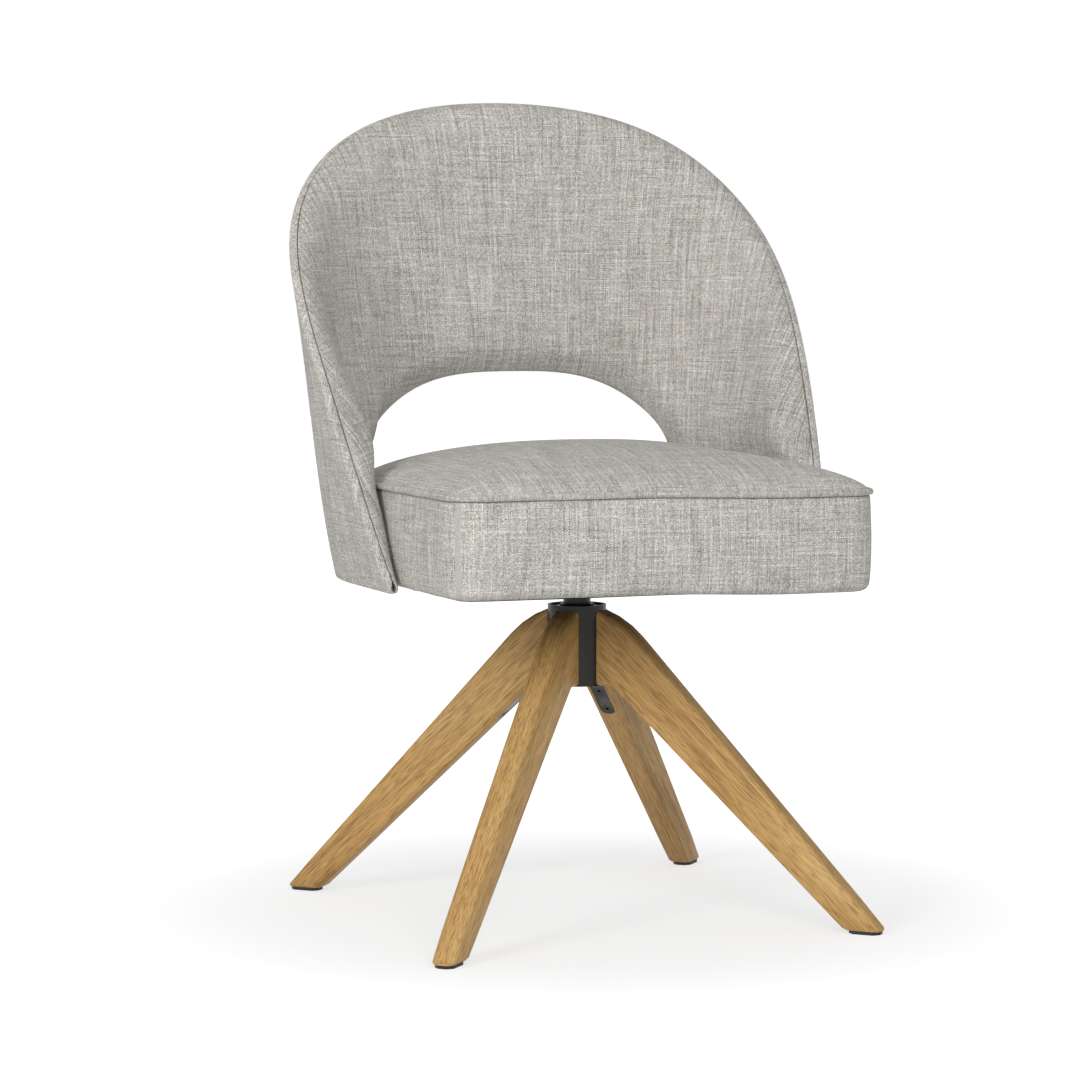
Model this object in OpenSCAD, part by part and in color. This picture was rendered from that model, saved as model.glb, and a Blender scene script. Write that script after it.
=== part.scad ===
// Swivel dining chair: a box cushion and a wrapped, cut-out backrest on a four-legged oak base.
// The origin is on the floor on the swivel axis, +Z is up and the chair faces -Y.

/* [Seat cushion] */
// Distance from the swivel axis to the front of the cushion
cushion_front = 244; // [225:1:260]
// Distance from the swivel axis to the rear of the cushion
cushion_rear = 129; // [115:1:130]
// Height of the cushion's lower edge above the floor
cushion_bottom_z = 347; // [346:1:350]
// Height of the piped seam above the floor
seam_z = 444; // [436:1:450]
// Rise of the crown above the piped seam
crown_rise = 43; // [25:1:50]
// Radius of the cushion's front corners in plan
corner_r = 24; // [15:1:40]
// Radius of the piping cord with its cloth
piping_r = 3.4; // [2.5:0.1:4]
// Thickness of the seat's upholstery cloth
cloth_t = 2; // [1.5:0.1:2.5]

/* [Seat frame] */
// Thickness of the plywood seat board
board_t = 15; // [12:1:18]
// Width of each side rail
rail_w = 24; // [20:1:28]
// Height of each side rail
rail_h = 32; // [28:1:40]
// Length of each side rail
rail_len = 240; // [210:1:240]
// Width and depth of the steel mounting plate
plate_w = 160; // [140:1:180]
// Thickness of the mounting plate
plate_t = 5; // [4:0.5:6]
// Spacing of the plate's screws
plate_screw_pitch = 128; // [110:1:130]

/* [Backrest] */
// Largest width over the backrest
back_w = 550; // [545:1:560]
// Height of the top of the backrest above the floor
back_top_z = 835; // [800:1:860]
// Height of the lower tips of the wings above the floor
wing_bottom_z = 343; // [340:1:346]
// Distance from the swivel axis to the outside of the backrest at its top
back_depth_top = 215; // [205:1:225]
// Distance from the swivel axis to the outside of the backrest at the wing tips
back_depth_bottom = 165; // [155:1:175]
// Depth of the rounded rear part of the backrest in plan
back_bend = 244; // [235:1:250]
// Length of each half of the backrest measured round its outside
back_half_len = 466; // [460:1:470]
// Padded thickness of the backrest
back_t = 28; // [24:1:28]
// Thickness of the moulded plywood inside the backrest
ply_t = 8; // [6:1:9]
// Height of the top of the rear cut-out above the floor
cutout_top_z = 550; // [530:1:570]
// Half the width of the rear cut-out at its shoulders
cutout_half_w = 190; // [180:1:196]
// Drop of the cut-out's edge at its shoulders
cutout_drop = 90; // [80:1:100]

/* [Base] */
// Distance from the swivel axis to the tip of each leg
leg_reach = 331; // [300:1:345]
// Thickness of each leg
leg_t = 26.5; // [22:0.5:28]
// Length of each leg's foot along the floor
foot_len = 39; // [32:1:42]
// Height of the legs' shoulders where they meet the hub
leg_top_z = 314; // [306:1:314]
// Radius of the hub
hub_r = 30; // [28:0.5:32]
// Height of the hub's top above the floor
hub_top_z = 317; // [317:1:319]
// Height of the hub's underside above the floor
hub_bottom_z = 235; // [230:1:240]
// Height of the plastic glides
glide_h = 3.5; // [3:0.5:5]
// Width of the tongues under the legs
tongue_w = 16; // [14:0.5:18]
// Thickness of the tongues under the legs
tongue_t = 4; // [3:0.5:5]
// Radius of the swivel spindle
spindle_r = 14; // [12:0.5:15]

/* [Hidden] */
$fn = 48;

// Overrun of cuts, gap between soft pieces, and the two running fits
over = 1;
soft_gap = 0.3;
run_gap = 0.05;
seat_gap = 0.1;

// Colours
oak = "#C6A36A";
powder_black = "#35342F";
plastic_black = "#1E1E1E";
zinc = "#A9ABAC";
brass = "#B59A55";
acetal = "#E8E6DD";
plywood = "#CFAE7C";
foam = "#E6DCC0";
cloth = "#BDBAB4";
lining = "#2B2B2B";

// Heights and radii that follow from the sizes above
board_z = cushion_bottom_z + cloth_t;
board_top_z = board_z + board_t;
plate_z = board_z - plate_t;
cushion_share = 0.807;
cushion_half = back_w/2*cushion_share;
leg_angles = [-135, -45, 135, 45];
end_ring_share = 0.06;

// Vector helpers
function unit(v) = v/norm(v);
function mix(a, b, s) = a + (b - a)*s;
function flat(rings) = [for (r = rings) for (p = r) p];
function centre(ring) = [for (k = [0:2]) sum([for (p = ring) p[k]])/len(ring)];
function sum(v, i = 0) = i < len(v) ? v[i] + sum(v, i + 1) : 0;
function running(v) = [for (i = 0, s = 0; i <= len(v); s = s + (i < len(v) ? v[i] : 0), i = i + 1) s];
function strip(i, k, n, turned = false) = [for (j = [0:n - 1])
    let(a = i*n + j, b = i*n + (j + 1)%n, c = k*n + j, d = k*n + (j + 1)%n)
    each turned ? [[a, c, b], [b, c, d]] : [[a, c, d], [a, d, b]]];
// Strips between rings that run from the left of the chair to its right, alike on both sides
function side_strips(m, n) = [for (i = [0:m - 2]) each strip(i, i + 1, n, i < (m - 1)/2)];
function fan_up(i, n, c) = [for (j = [0:n - 1]) [c, i*n + (j + 1)%n, i*n + j]];
function fan_down(i, n, c) = [for (j = [0:n - 1]) [c, i*n + j, i*n + (j + 1)%n]];

// A solid skinned over rings that run anticlockwise round the way they advance
module loft(rings, across = false) {
    n = len(rings[0]);
    m = len(rings);
    polyhedron(
        points = concat(flat(rings), [centre(rings[0]), centre(rings[m - 1])]),
        faces = concat(across ? side_strips(m, n) : [for (i = [0:m - 2]) each strip(i, i + 1, n)],
            fan_down(0, n, m*n), fan_up(m - 1, n, m*n + 1)));
}

// A closed loop of rings, such as piping
module ring_loop(rings) {
    n = len(rings[0]);
    m = len(rings);
    polyhedron(points = flat(rings), faces = [for (i = [0:m - 1]) each strip(i, (i + 1)%m, n)]);
}

// A bag: outer rings up to a crown, inner rings back down to the same mouth
module bag(outer, inner) {
    n = len(outer[0]);
    a = len(outer);
    b = len(inner);
    rings = concat(outer, [for (i = [b - 1:-1:0]) inner[i]]);
    total = a + b;
    polyhedron(
        points = concat(flat(rings), [centre(outer[a - 1]), centre(inner[b - 1])]),
        faces = concat([for (i = [0:total - 1]) if (i != a - 1) each strip(i, (i + 1)%total, n)],
            fan_up(a - 1, n, total*n), fan_down(a, n, total*n + 1)));
}

// A thin sheet swept along sections whose first half is its outer path and second half its inner path
module sheet(sections) {
    n = len(sections[0]);
    m = len(sections);
    h = n/2;
    ends = [for (k = [0:h - 2]) each [[k, k + 1, n - 2 - k], [k, n - 2 - k, n - 1 - k]]];
    polyhedron(points = flat(sections), faces = concat(side_strips(m, n), ends,
        [for (f = ends) [for (v = [2:-1:0]) f[v] + (m - 1)*n]]));
}

// Base: legs

// Outer and inner lines of a leg in its own plane, as distance from the axis and height
knee_gap = 13;
tongue_rise = 0.5;
leg_knee = [hub_r + knee_gap, hub_bottom_z + tongue_rise];
foot_inner = [leg_reach - foot_len, glide_h];
foot_outer = [leg_reach, glide_h];
shoulder_r = 3.47*hub_r;
shoulder = [hub_r*7/3, leg_top_z - hub_r*0.97];
outer_dir = unit(foot_outer - shoulder);
inner_dir = unit(foot_inner - leg_knee);
inner_tilt = atan2(-inner_dir[1], inner_dir[0]);
outer_tilt = atan2(-outer_dir[1], outer_dir[0]);
shoulder_centre = shoulder - shoulder_r*[sin(outer_tilt), cos(outer_tilt)];
foot_chamfer = leg_t*0.06;
edge_r = leg_t*0.2;
foot_edge_r = leg_t*0.26;
inner_edge_r = leg_t*0.14;
corner_steps = 4;

function on_shoulder(tilt) = shoulder_centre + shoulder_r*[sin(tilt), cos(tilt)];

// Each station is the outer point, the inner point, the outer corners' radius and the thickness
leg_stations = [
    [foot_outer - [foot_chamfer, 0], foot_inner + [foot_chamfer, 0], foot_edge_r,
        leg_t*0.9 - 2*foot_chamfer],
    [foot_outer - outer_dir*2*foot_chamfer, foot_inner - inner_dir*2*foot_chamfer, foot_edge_r, leg_t*0.9],
    [mix(foot_outer, shoulder, 0.1), mix(foot_inner, leg_knee, 0.13), edge_r, leg_t*0.93],
    [mix(foot_outer, shoulder, 0.5), mix(foot_inner, leg_knee, 0.55), edge_r, leg_t*0.97],
    [mix(foot_outer, shoulder, 0.9), mix(foot_inner, leg_knee, 0.94), edge_r, leg_t],
    [shoulder, mix(foot_inner, leg_knee, 0.98), edge_r, leg_t],
    [on_shoulder(outer_tilt*0.8), leg_knee, edge_r, leg_t],
    [on_shoulder(outer_tilt*0.6), leg_knee - [hub_r*0.1, 0], edge_r, leg_t],
    [on_shoulder(outer_tilt*0.4), leg_knee - [hub_r*0.3, 0], edge_r, leg_t],
    [on_shoulder(outer_tilt*0.26), leg_knee - [hub_r*0.7, 0], edge_r, leg_t]];

// A rounded rectangle between two points of the leg's plane
function leg_ring(station) = let(
    o = station[0], i = station[1], r = station[2], t = station[3],
    mid = (o + i)/2, up = unit(o - i), h = norm(o - i)/2,
    q = inner_edge_r,
    corners = [[h - r, t/2 - r, r, 0], [h - r, r - t/2, r, 270],
        [q - h, q - t/2, q, 180], [q - h, t/2 - q, q, 90]])
    [for (c = corners) for (k = [0:corner_steps - 1])
        let(a = c[3] + 90 - 90*k/(corner_steps - 1), p = mid + up*(c[0] + c[2]*cos(a)))
        [p[0], c[1] + c[2]*sin(a), p[1]]];

module at_leg(i) {
    rotate([0, 0, leg_angles[i]]) children();
}

// Turns the upright axis square to the leg's sloping underside, at a distance along it
module on_underside(along) {
    translate([leg_knee[0] + inner_dir[0]*along, 0, leg_knee[1] + inner_dir[1]*along])
        rotate([0, inner_tilt, 0]) children();
}

tongue_len = 2.07*hub_r;
tongue_root = hub_r*0.9;
screw_places = [tongue_len*0.36, tongue_len*0.86];
screw_r = 3;
screw_head_r = 6.2;
screw_head_h = 3.2;
screw_len = 22;
insert_r = 5;
insert_len = 14;

// The plate let into a leg's underside, with a gap round it when it cuts the pocket
module tongue(gap, below = 0) {
    w = tongue_w + 2*gap;
    t = tongue_t + gap;
    up = [-inner_dir[1], inner_dir[0]];
    end = leg_knee + inner_dir*(tongue_len + over);
    bend = [tan(inner_tilt/2), 1];
    intersection() {
        rotate([90, 0, 0]) translate([0, 0, -tongue_w]) linear_extrude(2*tongue_w) polygon([
            [tongue_root, leg_knee[1] - below], leg_knee - bend*below, end - up*below,
            end + up*t, leg_knee + bend*t, [tongue_root, leg_knee[1] + t]]);
        on_underside(0) translate([0, 0, -hub_r]) linear_extrude(2*hub_r) union() {
            translate([-2*hub_r, -w/2]) square([2*hub_r + tongue_len - tongue_w/2, w]);
            translate([tongue_len - tongue_w/2, 0]) circle(r = w/2);
        }
    }
}

module leg(i) {
    color(oak) at_leg(i) difference() {
        loft([for (s = leg_stations) leg_ring(s)]);
        translate([0, 0, hub_bottom_z - 2*over])
            cylinder(r = hub_r + seat_gap, h = hub_top_z - hub_bottom_z + hub_r);
        tongue(seat_gap, below = over);
        for (s = screw_places) on_underside(s) cylinder(r = insert_r, h = tongue_t + insert_len);
        for (s = screw_places) on_underside(s) cylinder(r = screw_r + seat_gap, h = screw_len + over);
        translate([foot_centre_r, 0, 0]) cylinder(r = glide_stem_r, h = glide_h + glide_stem_h);
    }
}

module leg_screws() {
    color(plastic_black) for (i = [0:3]) for (s = screw_places) at_leg(i) on_underside(s) difference() {
        union() {
            cylinder(r1 = screw_head_r, r2 = screw_r, h = screw_head_h);
            cylinder(r = screw_r, h = screw_len);
        }
        translate([0, 0, -over]) cylinder(r = screw_r*0.72, h = screw_head_h*0.7 + over, $fn = 6);
    }
}

module leg_inserts() {
    color(brass) for (i = [0:3]) for (s = screw_places) at_leg(i) on_underside(s) difference() {
        translate([0, 0, tongue_t + seat_gap]) cylinder(r = insert_r, h = insert_len - seat_gap);
        cylinder(r = screw_r, h = screw_len + over);
    }
}

// Base: glides

foot_centre_r = leg_reach - foot_len/2;
glide_len = foot_len*0.83;
glide_w = leg_t*0.76;
glide_cut = glide_w*0.28;
glide_stem_r = leg_t*0.12;
glide_stem_h = foot_len*0.3;

module glide(i) {
    color(plastic_black) at_leg(i) translate([foot_centre_r, 0, 0]) {
        linear_extrude(glide_h) polygon([for (s = [[1, 1], [-1, 1], [-1, -1], [1, -1]])
            let(end = [s[0]*glide_len/2, s[1]*(glide_w/2 - glide_cut)],
                flank = [s[0]*(glide_len/2 - glide_cut), s[1]*glide_w/2])
            each s[0]*s[1] > 0 ? [end, flank] : [flank, end]]);
        cylinder(r = glide_stem_r, h = glide_h + glide_stem_h);
    }
}

// Base: hub and swivel bearing

bush_wall = 3;
bush_len = 28;
bush_flange_w = 4;
bush_flange_t = 2;
rim_wall = 3;
rim_recess = 5;
retain_recess_w = 9;
retain_recess_r = spindle_r + retain_recess_w;
retain_recess_h = 8;
retain_washer_t = 2;
circlip_t = 1.2;
circlip_w = 3;
groove_d = 1;
washer_t = 1.5;
bore_r = spindle_r + bush_wall;
upper_seat_z = hub_top_z - rim_recess;
thrust_z = upper_seat_z + bush_flange_t;
collar_z = thrust_z + washer_t + run_gap;
retain_z = hub_bottom_z + retain_recess_h - run_gap - retain_washer_t;

module hub() {
    color(powder_black) difference() {
        union() {
            translate([0, 0, hub_bottom_z]) cylinder(r = hub_r, h = hub_top_z - hub_bottom_z, $fn = 96);
            for (i = [0:3]) at_leg(i) tongue(0);
        }
        translate([0, 0, hub_bottom_z - over]) cylinder(r = bore_r, h = hub_top_z - hub_bottom_z + 2*over);
        translate([0, 0, upper_seat_z]) cylinder(r = hub_r - rim_wall, h = rim_recess + over);
        translate([0, 0, hub_bottom_z - over]) cylinder(r = retain_recess_r, h = retain_recess_h + over);
        for (i = [0:3]) for (s = screw_places) at_leg(i) on_underside(s) {
            translate([0, 0, -over]) cylinder(r = screw_r + seat_gap, h = tongue_t + 2*over);
            translate([0, 0, -over]) cylinder(
                r1 = screw_head_r + seat_gap + over*(screw_head_r - screw_r)/screw_head_h,
                r2 = screw_r + seat_gap, h = screw_head_h + over);
        }
    }
}

module upper_bush() {
    color(acetal) difference() {
        union() {
            translate([0, 0, upper_seat_z - bush_len]) cylinder(r = bore_r, h = bush_len);
            translate([0, 0, upper_seat_z]) cylinder(r = bore_r + bush_flange_w, h = bush_flange_t);
        }
        translate([0, 0, upper_seat_z - bush_len - over])
            cylinder(r = spindle_r + run_gap, h = bush_len + bush_flange_t + 2*over);
    }
}

module lower_bush() {
    color(acetal) translate([0, 0, hub_bottom_z + retain_recess_h]) difference() {
        cylinder(r = bore_r, h = bush_len);
        translate([0, 0, -over]) cylinder(r = spindle_r + run_gap, h = bush_len + 2*over);
    }
}

module thrust_washer() {
    color(zinc) translate([0, 0, thrust_z]) difference() {
        cylinder(r = bore_r + bush_flange_w - seat_gap, h = washer_t);
        translate([0, 0, -over]) cylinder(r = spindle_r + run_gap, h = washer_t + 2*over);
    }
}

// Seat: spindle, plate and fasteners

collar_w = 3.4;
collar_r = spindle_r + collar_w;
collar_h = 2;
boss_w = 2.6;
boss_r = spindle_r + boss_w;
boss_clear = 8;
boss_h = plate_z - hub_top_z - boss_clear;
spindle_recess = 1;
spindle_bottom_z = hub_bottom_z + spindle_recess;
groove_z = retain_z - circlip_t;

module spindle() {
    color(powder_black) difference() {
        union() {
            translate([0, 0, spindle_bottom_z]) cylinder(r = spindle_r, h = plate_z - spindle_bottom_z);
            translate([0, 0, collar_z]) cylinder(r = collar_r, h = collar_h);
            translate([0, 0, plate_z - boss_h]) cylinder(r = boss_r, h = boss_h);
        }
        translate([0, 0, groove_z]) difference() {
            cylinder(r = spindle_r + over, h = circlip_t);
            translate([0, 0, -over]) cylinder(r = spindle_r - groove_d, h = circlip_t + 2*over);
        }
    }
}

module retaining_washer() {
    color(zinc) translate([0, 0, retain_z]) difference() {
        cylinder(r = retain_recess_r - over, h = retain_washer_t);
        translate([0, 0, -over]) cylinder(r = spindle_r + seat_gap, h = retain_washer_t + 2*over);
    }
}

module circlip() {
    color(zinc) translate([0, 0, groove_z]) difference() {
        cylinder(r = spindle_r - groove_d + circlip_w, h = circlip_t);
        translate([0, 0, -over]) cylinder(r = spindle_r - groove_d, h = circlip_t + 2*over);
        translate([0, -circlip_w/2, -over]) cube([spindle_r + circlip_w, circlip_w, circlip_t + 2*over]);
    }
}

plate_corner_r = 14;
plate_screw_r = 3;
plate_head_r = 5.5;
plate_head_h = 3.3;
tee_flange_r = 9;
tee_flange_t = 1.5;
tee_barrel_r = 4;
tee_barrel_len = 9;

module at_plate_screws() {
    for (x = [-1, 1]) for (y = [-1, 1])
        translate([x*plate_screw_pitch/2, y*plate_screw_pitch/2, 0]) children();
}

module rounded_plate(w, r, h) {
    linear_extrude(h) union() {
        square([w, w - 2*r], center = true);
        square([w - 2*r, w], center = true);
        for (x = [-1, 1]) for (y = [-1, 1]) translate([x*(w/2 - r), y*(w/2 - r)]) circle(r = r);
    }
}

module seat_plate() {
    color(powder_black) translate([0, 0, plate_z]) difference() {
        rounded_plate(plate_w, plate_corner_r, plate_t);
        at_plate_screws() translate([0, 0, -over])
            cylinder(r = plate_screw_r + seat_gap, h = plate_t + 2*over);
    }
}

module plate_screws() {
    color(zinc) at_plate_screws() difference() {
        union() {
            translate([0, 0, plate_z - plate_head_h])
                cylinder(r1 = plate_head_r*0.8, r2 = plate_head_r, h = plate_head_h);
            translate([0, 0, plate_z]) cylinder(r = plate_screw_r, h = plate_t + board_t - over);
        }
        translate([0, 0, plate_z - plate_head_h - over])
            cylinder(r = plate_screw_r*0.7, h = plate_head_h*0.7 + over, $fn = 6);
    }
}

module plate_tee_nuts() {
    color(zinc) at_plate_screws() difference() {
        union() {
            translate([0, 0, board_top_z - tee_flange_t]) cylinder(r = tee_flange_r, h = tee_flange_t);
            translate([0, 0, board_top_z - tee_flange_t - tee_barrel_len])
                cylinder(r = tee_barrel_r, h = tee_barrel_len);
        }
        translate([0, 0, board_z]) cylinder(r = plate_screw_r, h = board_t + over);
    }
}

// Seat: outline of the cushion, anticlockwise from above, starting at the rear of its left side

cushion_y = -5;
rear_bend = cushion_rear - cushion_y;
cushion_power = 3.31;
rear_steps = 17;
corner_arcs = 4;
front_steps = 4;
side_steps = 3;
front_bow = 2;

function bulge(a, power) = pow(pow(abs(sin(a)), power) + pow(abs(cos(a)), power), -1/power);

side_shares = [for (k = [0:side_steps - 1]) (k + 0.3)/side_steps];
cushion_outline = concat(
    [for (s = side_shares) [-cushion_half, mix(cushion_y, corner_r - cushion_front, s)]],
    [for (k = [0:corner_arcs]) let(a = 180 + 90*k/corner_arcs)
        [corner_r - cushion_half + corner_r*cos(a), corner_r - cushion_front + corner_r*sin(a)]],
    [for (k = [1:front_steps - 1]) let(s = 2*k/front_steps - 1)
        [s*(cushion_half - corner_r), -cushion_front - front_bow*(1 - s*s)]],
    [for (k = [0:corner_arcs]) let(a = 270 + 90*k/corner_arcs)
        [cushion_half - corner_r + corner_r*cos(a), corner_r - cushion_front + corner_r*sin(a)]],
    [for (k = [side_steps - 1:-1:0])
        [cushion_half, mix(cushion_y, corner_r - cushion_front, side_shares[k])]],
    [for (k = [0:rear_steps]) let(a = 90 - 180*k/rear_steps)
        [cushion_half*sin(a), rear_bend*cos(a)]*bulge(a, cushion_power) + [0, cushion_y]]);

outline_count = len(cushion_outline);
function outline_point(i) = cushion_outline[(i + outline_count)%outline_count];
outline_normals = [for (i = [0:outline_count - 1])
    let(t = unit(outline_point(i + 1) - outline_point(i - 1))) [t[1], -t[0]]];
crown_centre = [0, mix(-cushion_front, cushion_rear, 0.53)];
crown_power = 2.2;
crown_round = 0.68;

// The outline pushed out by a distance, at a height
function outline_at(out, z) = [for (i = [0:outline_count - 1])
    let(p = cushion_outline[i] + outline_normals[i]*out) [p[0], p[1], z]];
// The outline drawn in to a share of its size, lifted onto the crown, and pushed in by a distance
function crown_at(share, inset) = [for (i = [0:outline_count - 1])
    let(q = cushion_outline[i] - outline_normals[i]*inset, p = mix(crown_centre, q, share))
    [p[0], p[1], seam_z - inset*1.1 + crown_rise*pow(1 - pow(share, crown_power), crown_round)]];

boxing_h = seam_z - cushion_bottom_z;
lower_edge_r = boxing_h*0.1;
drawn_in = cloth_t*1.3;
side_bulge = cloth_t*0.8;
flap_w = 25;
crown_shares = [0.985, 0.955, 0.91, 0.84, 0.73, 0.58, 0.4, 0.2, end_ring_share];
inner_crown_shares = [0.97, 0.87, 0.68, 0.42, end_ring_share];
// Height on the side panel and bulge there
side_bulge_shares = [[0.3, 0.9], [0.55, 1], [0.8, 0.3]];

cover_outer = concat(
    [outline_at(-flap_w, cushion_bottom_z)],
    [for (a = [0, 45, 90])
        outline_at(lower_edge_r*(sin(a) - 1), cushion_bottom_z + lower_edge_r*(1 - cos(a)))],
    [for (s = side_bulge_shares) outline_at(side_bulge*s[1], cushion_bottom_z + boxing_h*s[0])],
    [outline_at(-piping_r*0.54, seam_z - piping_r*1.16), outline_at(-piping_r*1.16, seam_z)],
    [for (s = crown_shares) crown_at(s, 0)]);

function inner_rings(inset, z0) = concat(
    [outline_at(-inset, z0), outline_at(-inset - drawn_in*0.2, seam_z - piping_r*2 - inset)],
    [for (s = inner_crown_shares) crown_at(s, inset + drawn_in)]);

module seat_cover() {
    color(cloth) difference() {
        bag(cover_outer, concat(
            [outline_at(-flap_w, board_z), outline_at(-lower_edge_r/2 - cloth_t, board_z)],
            inner_rings(cloth_t + side_bulge, board_z + lower_edge_r)));
        at_wing_bolts() translate([cushion_half - 3*lower_edge_r, 0, 0]) rotate([0, 90, 0])
            cylinder(r = spacer_r + soft_gap, h = 4*lower_edge_r);
    }
}

module seat_foam() {
    color(foam) difference() {
        loft(inner_rings(cloth_t + side_bulge + soft_gap, board_top_z));
        // The notch for each rail is open to the side
        for (side = [-1, 1]) for (out = [0, lower_edge_r])
            translate([side*out, 0, 0]) rail_block(side, soft_gap);
        at_wing_bolts() translate([rail_x - wing_head_h - soft_gap, 0, 0]) rotate([0, 90, 0])
            cylinder(r = wing_head_r + soft_gap, h = wing_head_h + over);
    }
}

// Piping runs round the seam, in the groove between the side panels and the top
piping_sides = 8;
module seat_piping() {
    color(cloth) ring_loop([for (i = [0:outline_count - 1])
        let(p = cushion_outline[i], n = outline_normals[i])
        [for (k = [0:piping_sides - 1])
            let(a = 360*k/piping_sides + 180/piping_sides, q = p + n*piping_r*cos(a))
            [q[0], q[1], seam_z + piping_r*sin(a)]]]);
}

// Seat: board, rails and lining

board_inset = cloth_t + lower_edge_r/2;
module outline_slab(inset, z, h) {
    translate([0, 0, z]) linear_extrude(h)
        polygon([for (i = [0:outline_count - 1]) cushion_outline[i] - outline_normals[i]*inset]);
}

module seat_board() {
    color(plywood) difference() {
        outline_slab(board_inset + soft_gap, board_z, board_t);
        at_plate_screws() {
            translate([0, 0, board_z - over]) cylinder(r = tee_barrel_r, h = board_t + 2*over);
            translate([0, 0, board_top_z - tee_flange_t])
                cylinder(r = tee_flange_r, h = tee_flange_t + over);
        }
    }
}

rail_out = cushion_half - cloth_t - side_bulge - 2*soft_gap - drawn_in*0.2;
rail_x = rail_out - rail_w;
rail_front_y = corner_r - cushion_front + 2*over;
module rail_block(side, gap) {
    translate([side > 0 ? rail_x - gap : -rail_out - gap, rail_front_y - gap, board_top_z - gap])
        cube([rail_w + 2*gap, rail_len + 2*gap, rail_h + 2*gap]);
}

module seat_rail(side) {
    color(oak) difference() {
        rail_block(side, 0);
        at_wing_bolts() translate([rail_x - over, 0, 0]) rotate([0, 90, 0])
            cylinder(r = wing_bolt_r + seat_gap, h = rail_w + 2*over);
    }
}

lining_t = 1;
module dust_cover() {
    color(lining) difference() {
        outline_slab(lower_edge_r*1.3, cushion_bottom_z - lining_t, lining_t);
        translate([0, 0, cushion_bottom_z - lining_t - over])
            rounded_plate(plate_w + 4*over, plate_corner_r, lining_t + 2*over);
    }
}

// Backrest surface

back_rise = back_top_z - wing_bottom_z;
half_width_shares = [0.852, 0.996, 0.954, 1.282];
bend_powers = [4.78, 2.25];
rim_curve_shares = [0.578, 0.251, 0.171];
cutout_arch_share = 0.78;
cutout_arch_power = 3;
cutout_fall_power = 24;
wing_gap = 3;
tip_h = 7;
reference_z = mix(wing_bottom_z, back_top_z, 0.52);

function bezier(c, s) = c[0]*pow(1 - s, 3) + 3*c[1]*s*pow(1 - s, 2) + 3*c[2]*s*s*(1 - s) + c[3]*pow(s, 3);
function rise_share(z) = (z - wing_bottom_z)/back_rise;
function power_at(z) = mix(bend_powers[0], bend_powers[1], rise_share(z));
function half_width(z) = back_w/2*bezier(half_width_shares, rise_share(z));
function bend_y(z) = mix(back_depth_bottom, back_depth_top, rise_share(z)) - back_bend;
function pad_t(z) = min(back_t, half_width(z) - cushion_half - wing_gap);

// Distance round the outside at the reference height against the plan angle
arc_steps = 60;
arc_angles = [for (k = [0:arc_steps]) 90*k/arc_steps];
arc_points = [for (a = arc_angles)
    [half_width(reference_z)*sin(a), back_bend*cos(a)]*bulge(a, power_at(reference_z))];
arc_lengths = running([for (k = [0:arc_steps - 1]) norm(arc_points[k + 1] - arc_points[k])]);
arc_table = [for (k = [0:arc_steps]) [arc_lengths[k], arc_angles[k]]];
bend_len = arc_lengths[arc_steps];

// A point of the backrest: signed distance round it, height, and depth in from its outside
function back_point(len, z, depth) = let(
    side = len < 0 ? -1 : 1,
    a = lookup(min(abs(len), bend_len), arc_table),
    arm = max(0, abs(len) - bend_len),
    k = power_at(z),
    b = bulge(a, k),
    w = half_width(z),
    n = [pow(sin(a)*b, k - 1)/w, pow(abs(cos(a))*b, k - 1)/back_bend],
    p = [w*sin(a), back_bend*cos(a)]*b - n*depth/norm(n))
    [side*p[0], bend_y(z) + p[1] - arm, z];

// Upper rim and lower edge with their slopes, against the distance round the back
function rim_z(len) = let(u = abs(len)/back_half_len)
    back_top_z - (back_rise - tip_h)*sum([for (k = [0:2]) rim_curve_shares[k]*pow(u, k + 2)]);
function rim_slope(len) = let(u = abs(len)/back_half_len)
    (back_rise - tip_h)/back_half_len*sum([for (k = [0:2]) rim_curve_shares[k]*(k + 2)*pow(u, k + 1)]);
function edge_z(len) = let(u = abs(len)/cutout_half_w) max(wing_bottom_z,
    cutout_top_z - cutout_drop*mix(pow(u, cutout_fall_power), pow(u, cutout_arch_power), cutout_arch_share));
function edge_slope(len) = let(u = abs(len)/cutout_half_w) edge_z(len) > wing_bottom_z
    ? cutout_drop/cutout_half_w*mix(cutout_fall_power*pow(u, cutout_fall_power - 1),
        cutout_arch_power*pow(u, cutout_arch_power - 1), cutout_arch_share)
    : 0;
function column_h(len) = rim_z(len) - edge_z(len);

// A width measured square to the rim or the edge, as a height in the column, held to a share of it
function below_rim(len, w, share) = min(w*sqrt(1 + pow(rim_slope(len), 2)), share*column_h(len));
function above_edge(len, w, share) = min(w*sqrt(1 + pow(edge_slope(len), 2)), share*column_h(len));

// Sections of the padded back: a rolled rear edge and a front that swells from the seam
seam_depth = 5;
edge_roll = 5;
top_swell = 46;
wing_swell = 13;
edge_swell = 30;
edge_t_share = 0.62;
// Columns lie closest where the lower edge falls from the cut-out to the wing
column_shares = concat([0, 0.07, 0.14, 0.21, 0.265, 0.31, 0.345, 0.372, 0.393, 0.41, 0.424, 0.437, 0.45],
    [for (k = [0:10]) 0.488 + 0.0512*k]);
last_column = len(column_shares) - 1;
columns = [for (k = [-last_column:last_column]) back_half_len*column_shares[abs(k)]*(k < 0 ? -1 : 1)];
inner_columns = [for (k = [1:2*last_column - 1]) columns[k]];
rear_shares = [0.04, 0.22, 0.41, 0.59, 0.78, 0.96];
low_shares = [0, 0.12, 0.45, 1];
top_shares = [1, 0.6, 0.28, 0.08, 0];

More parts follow.
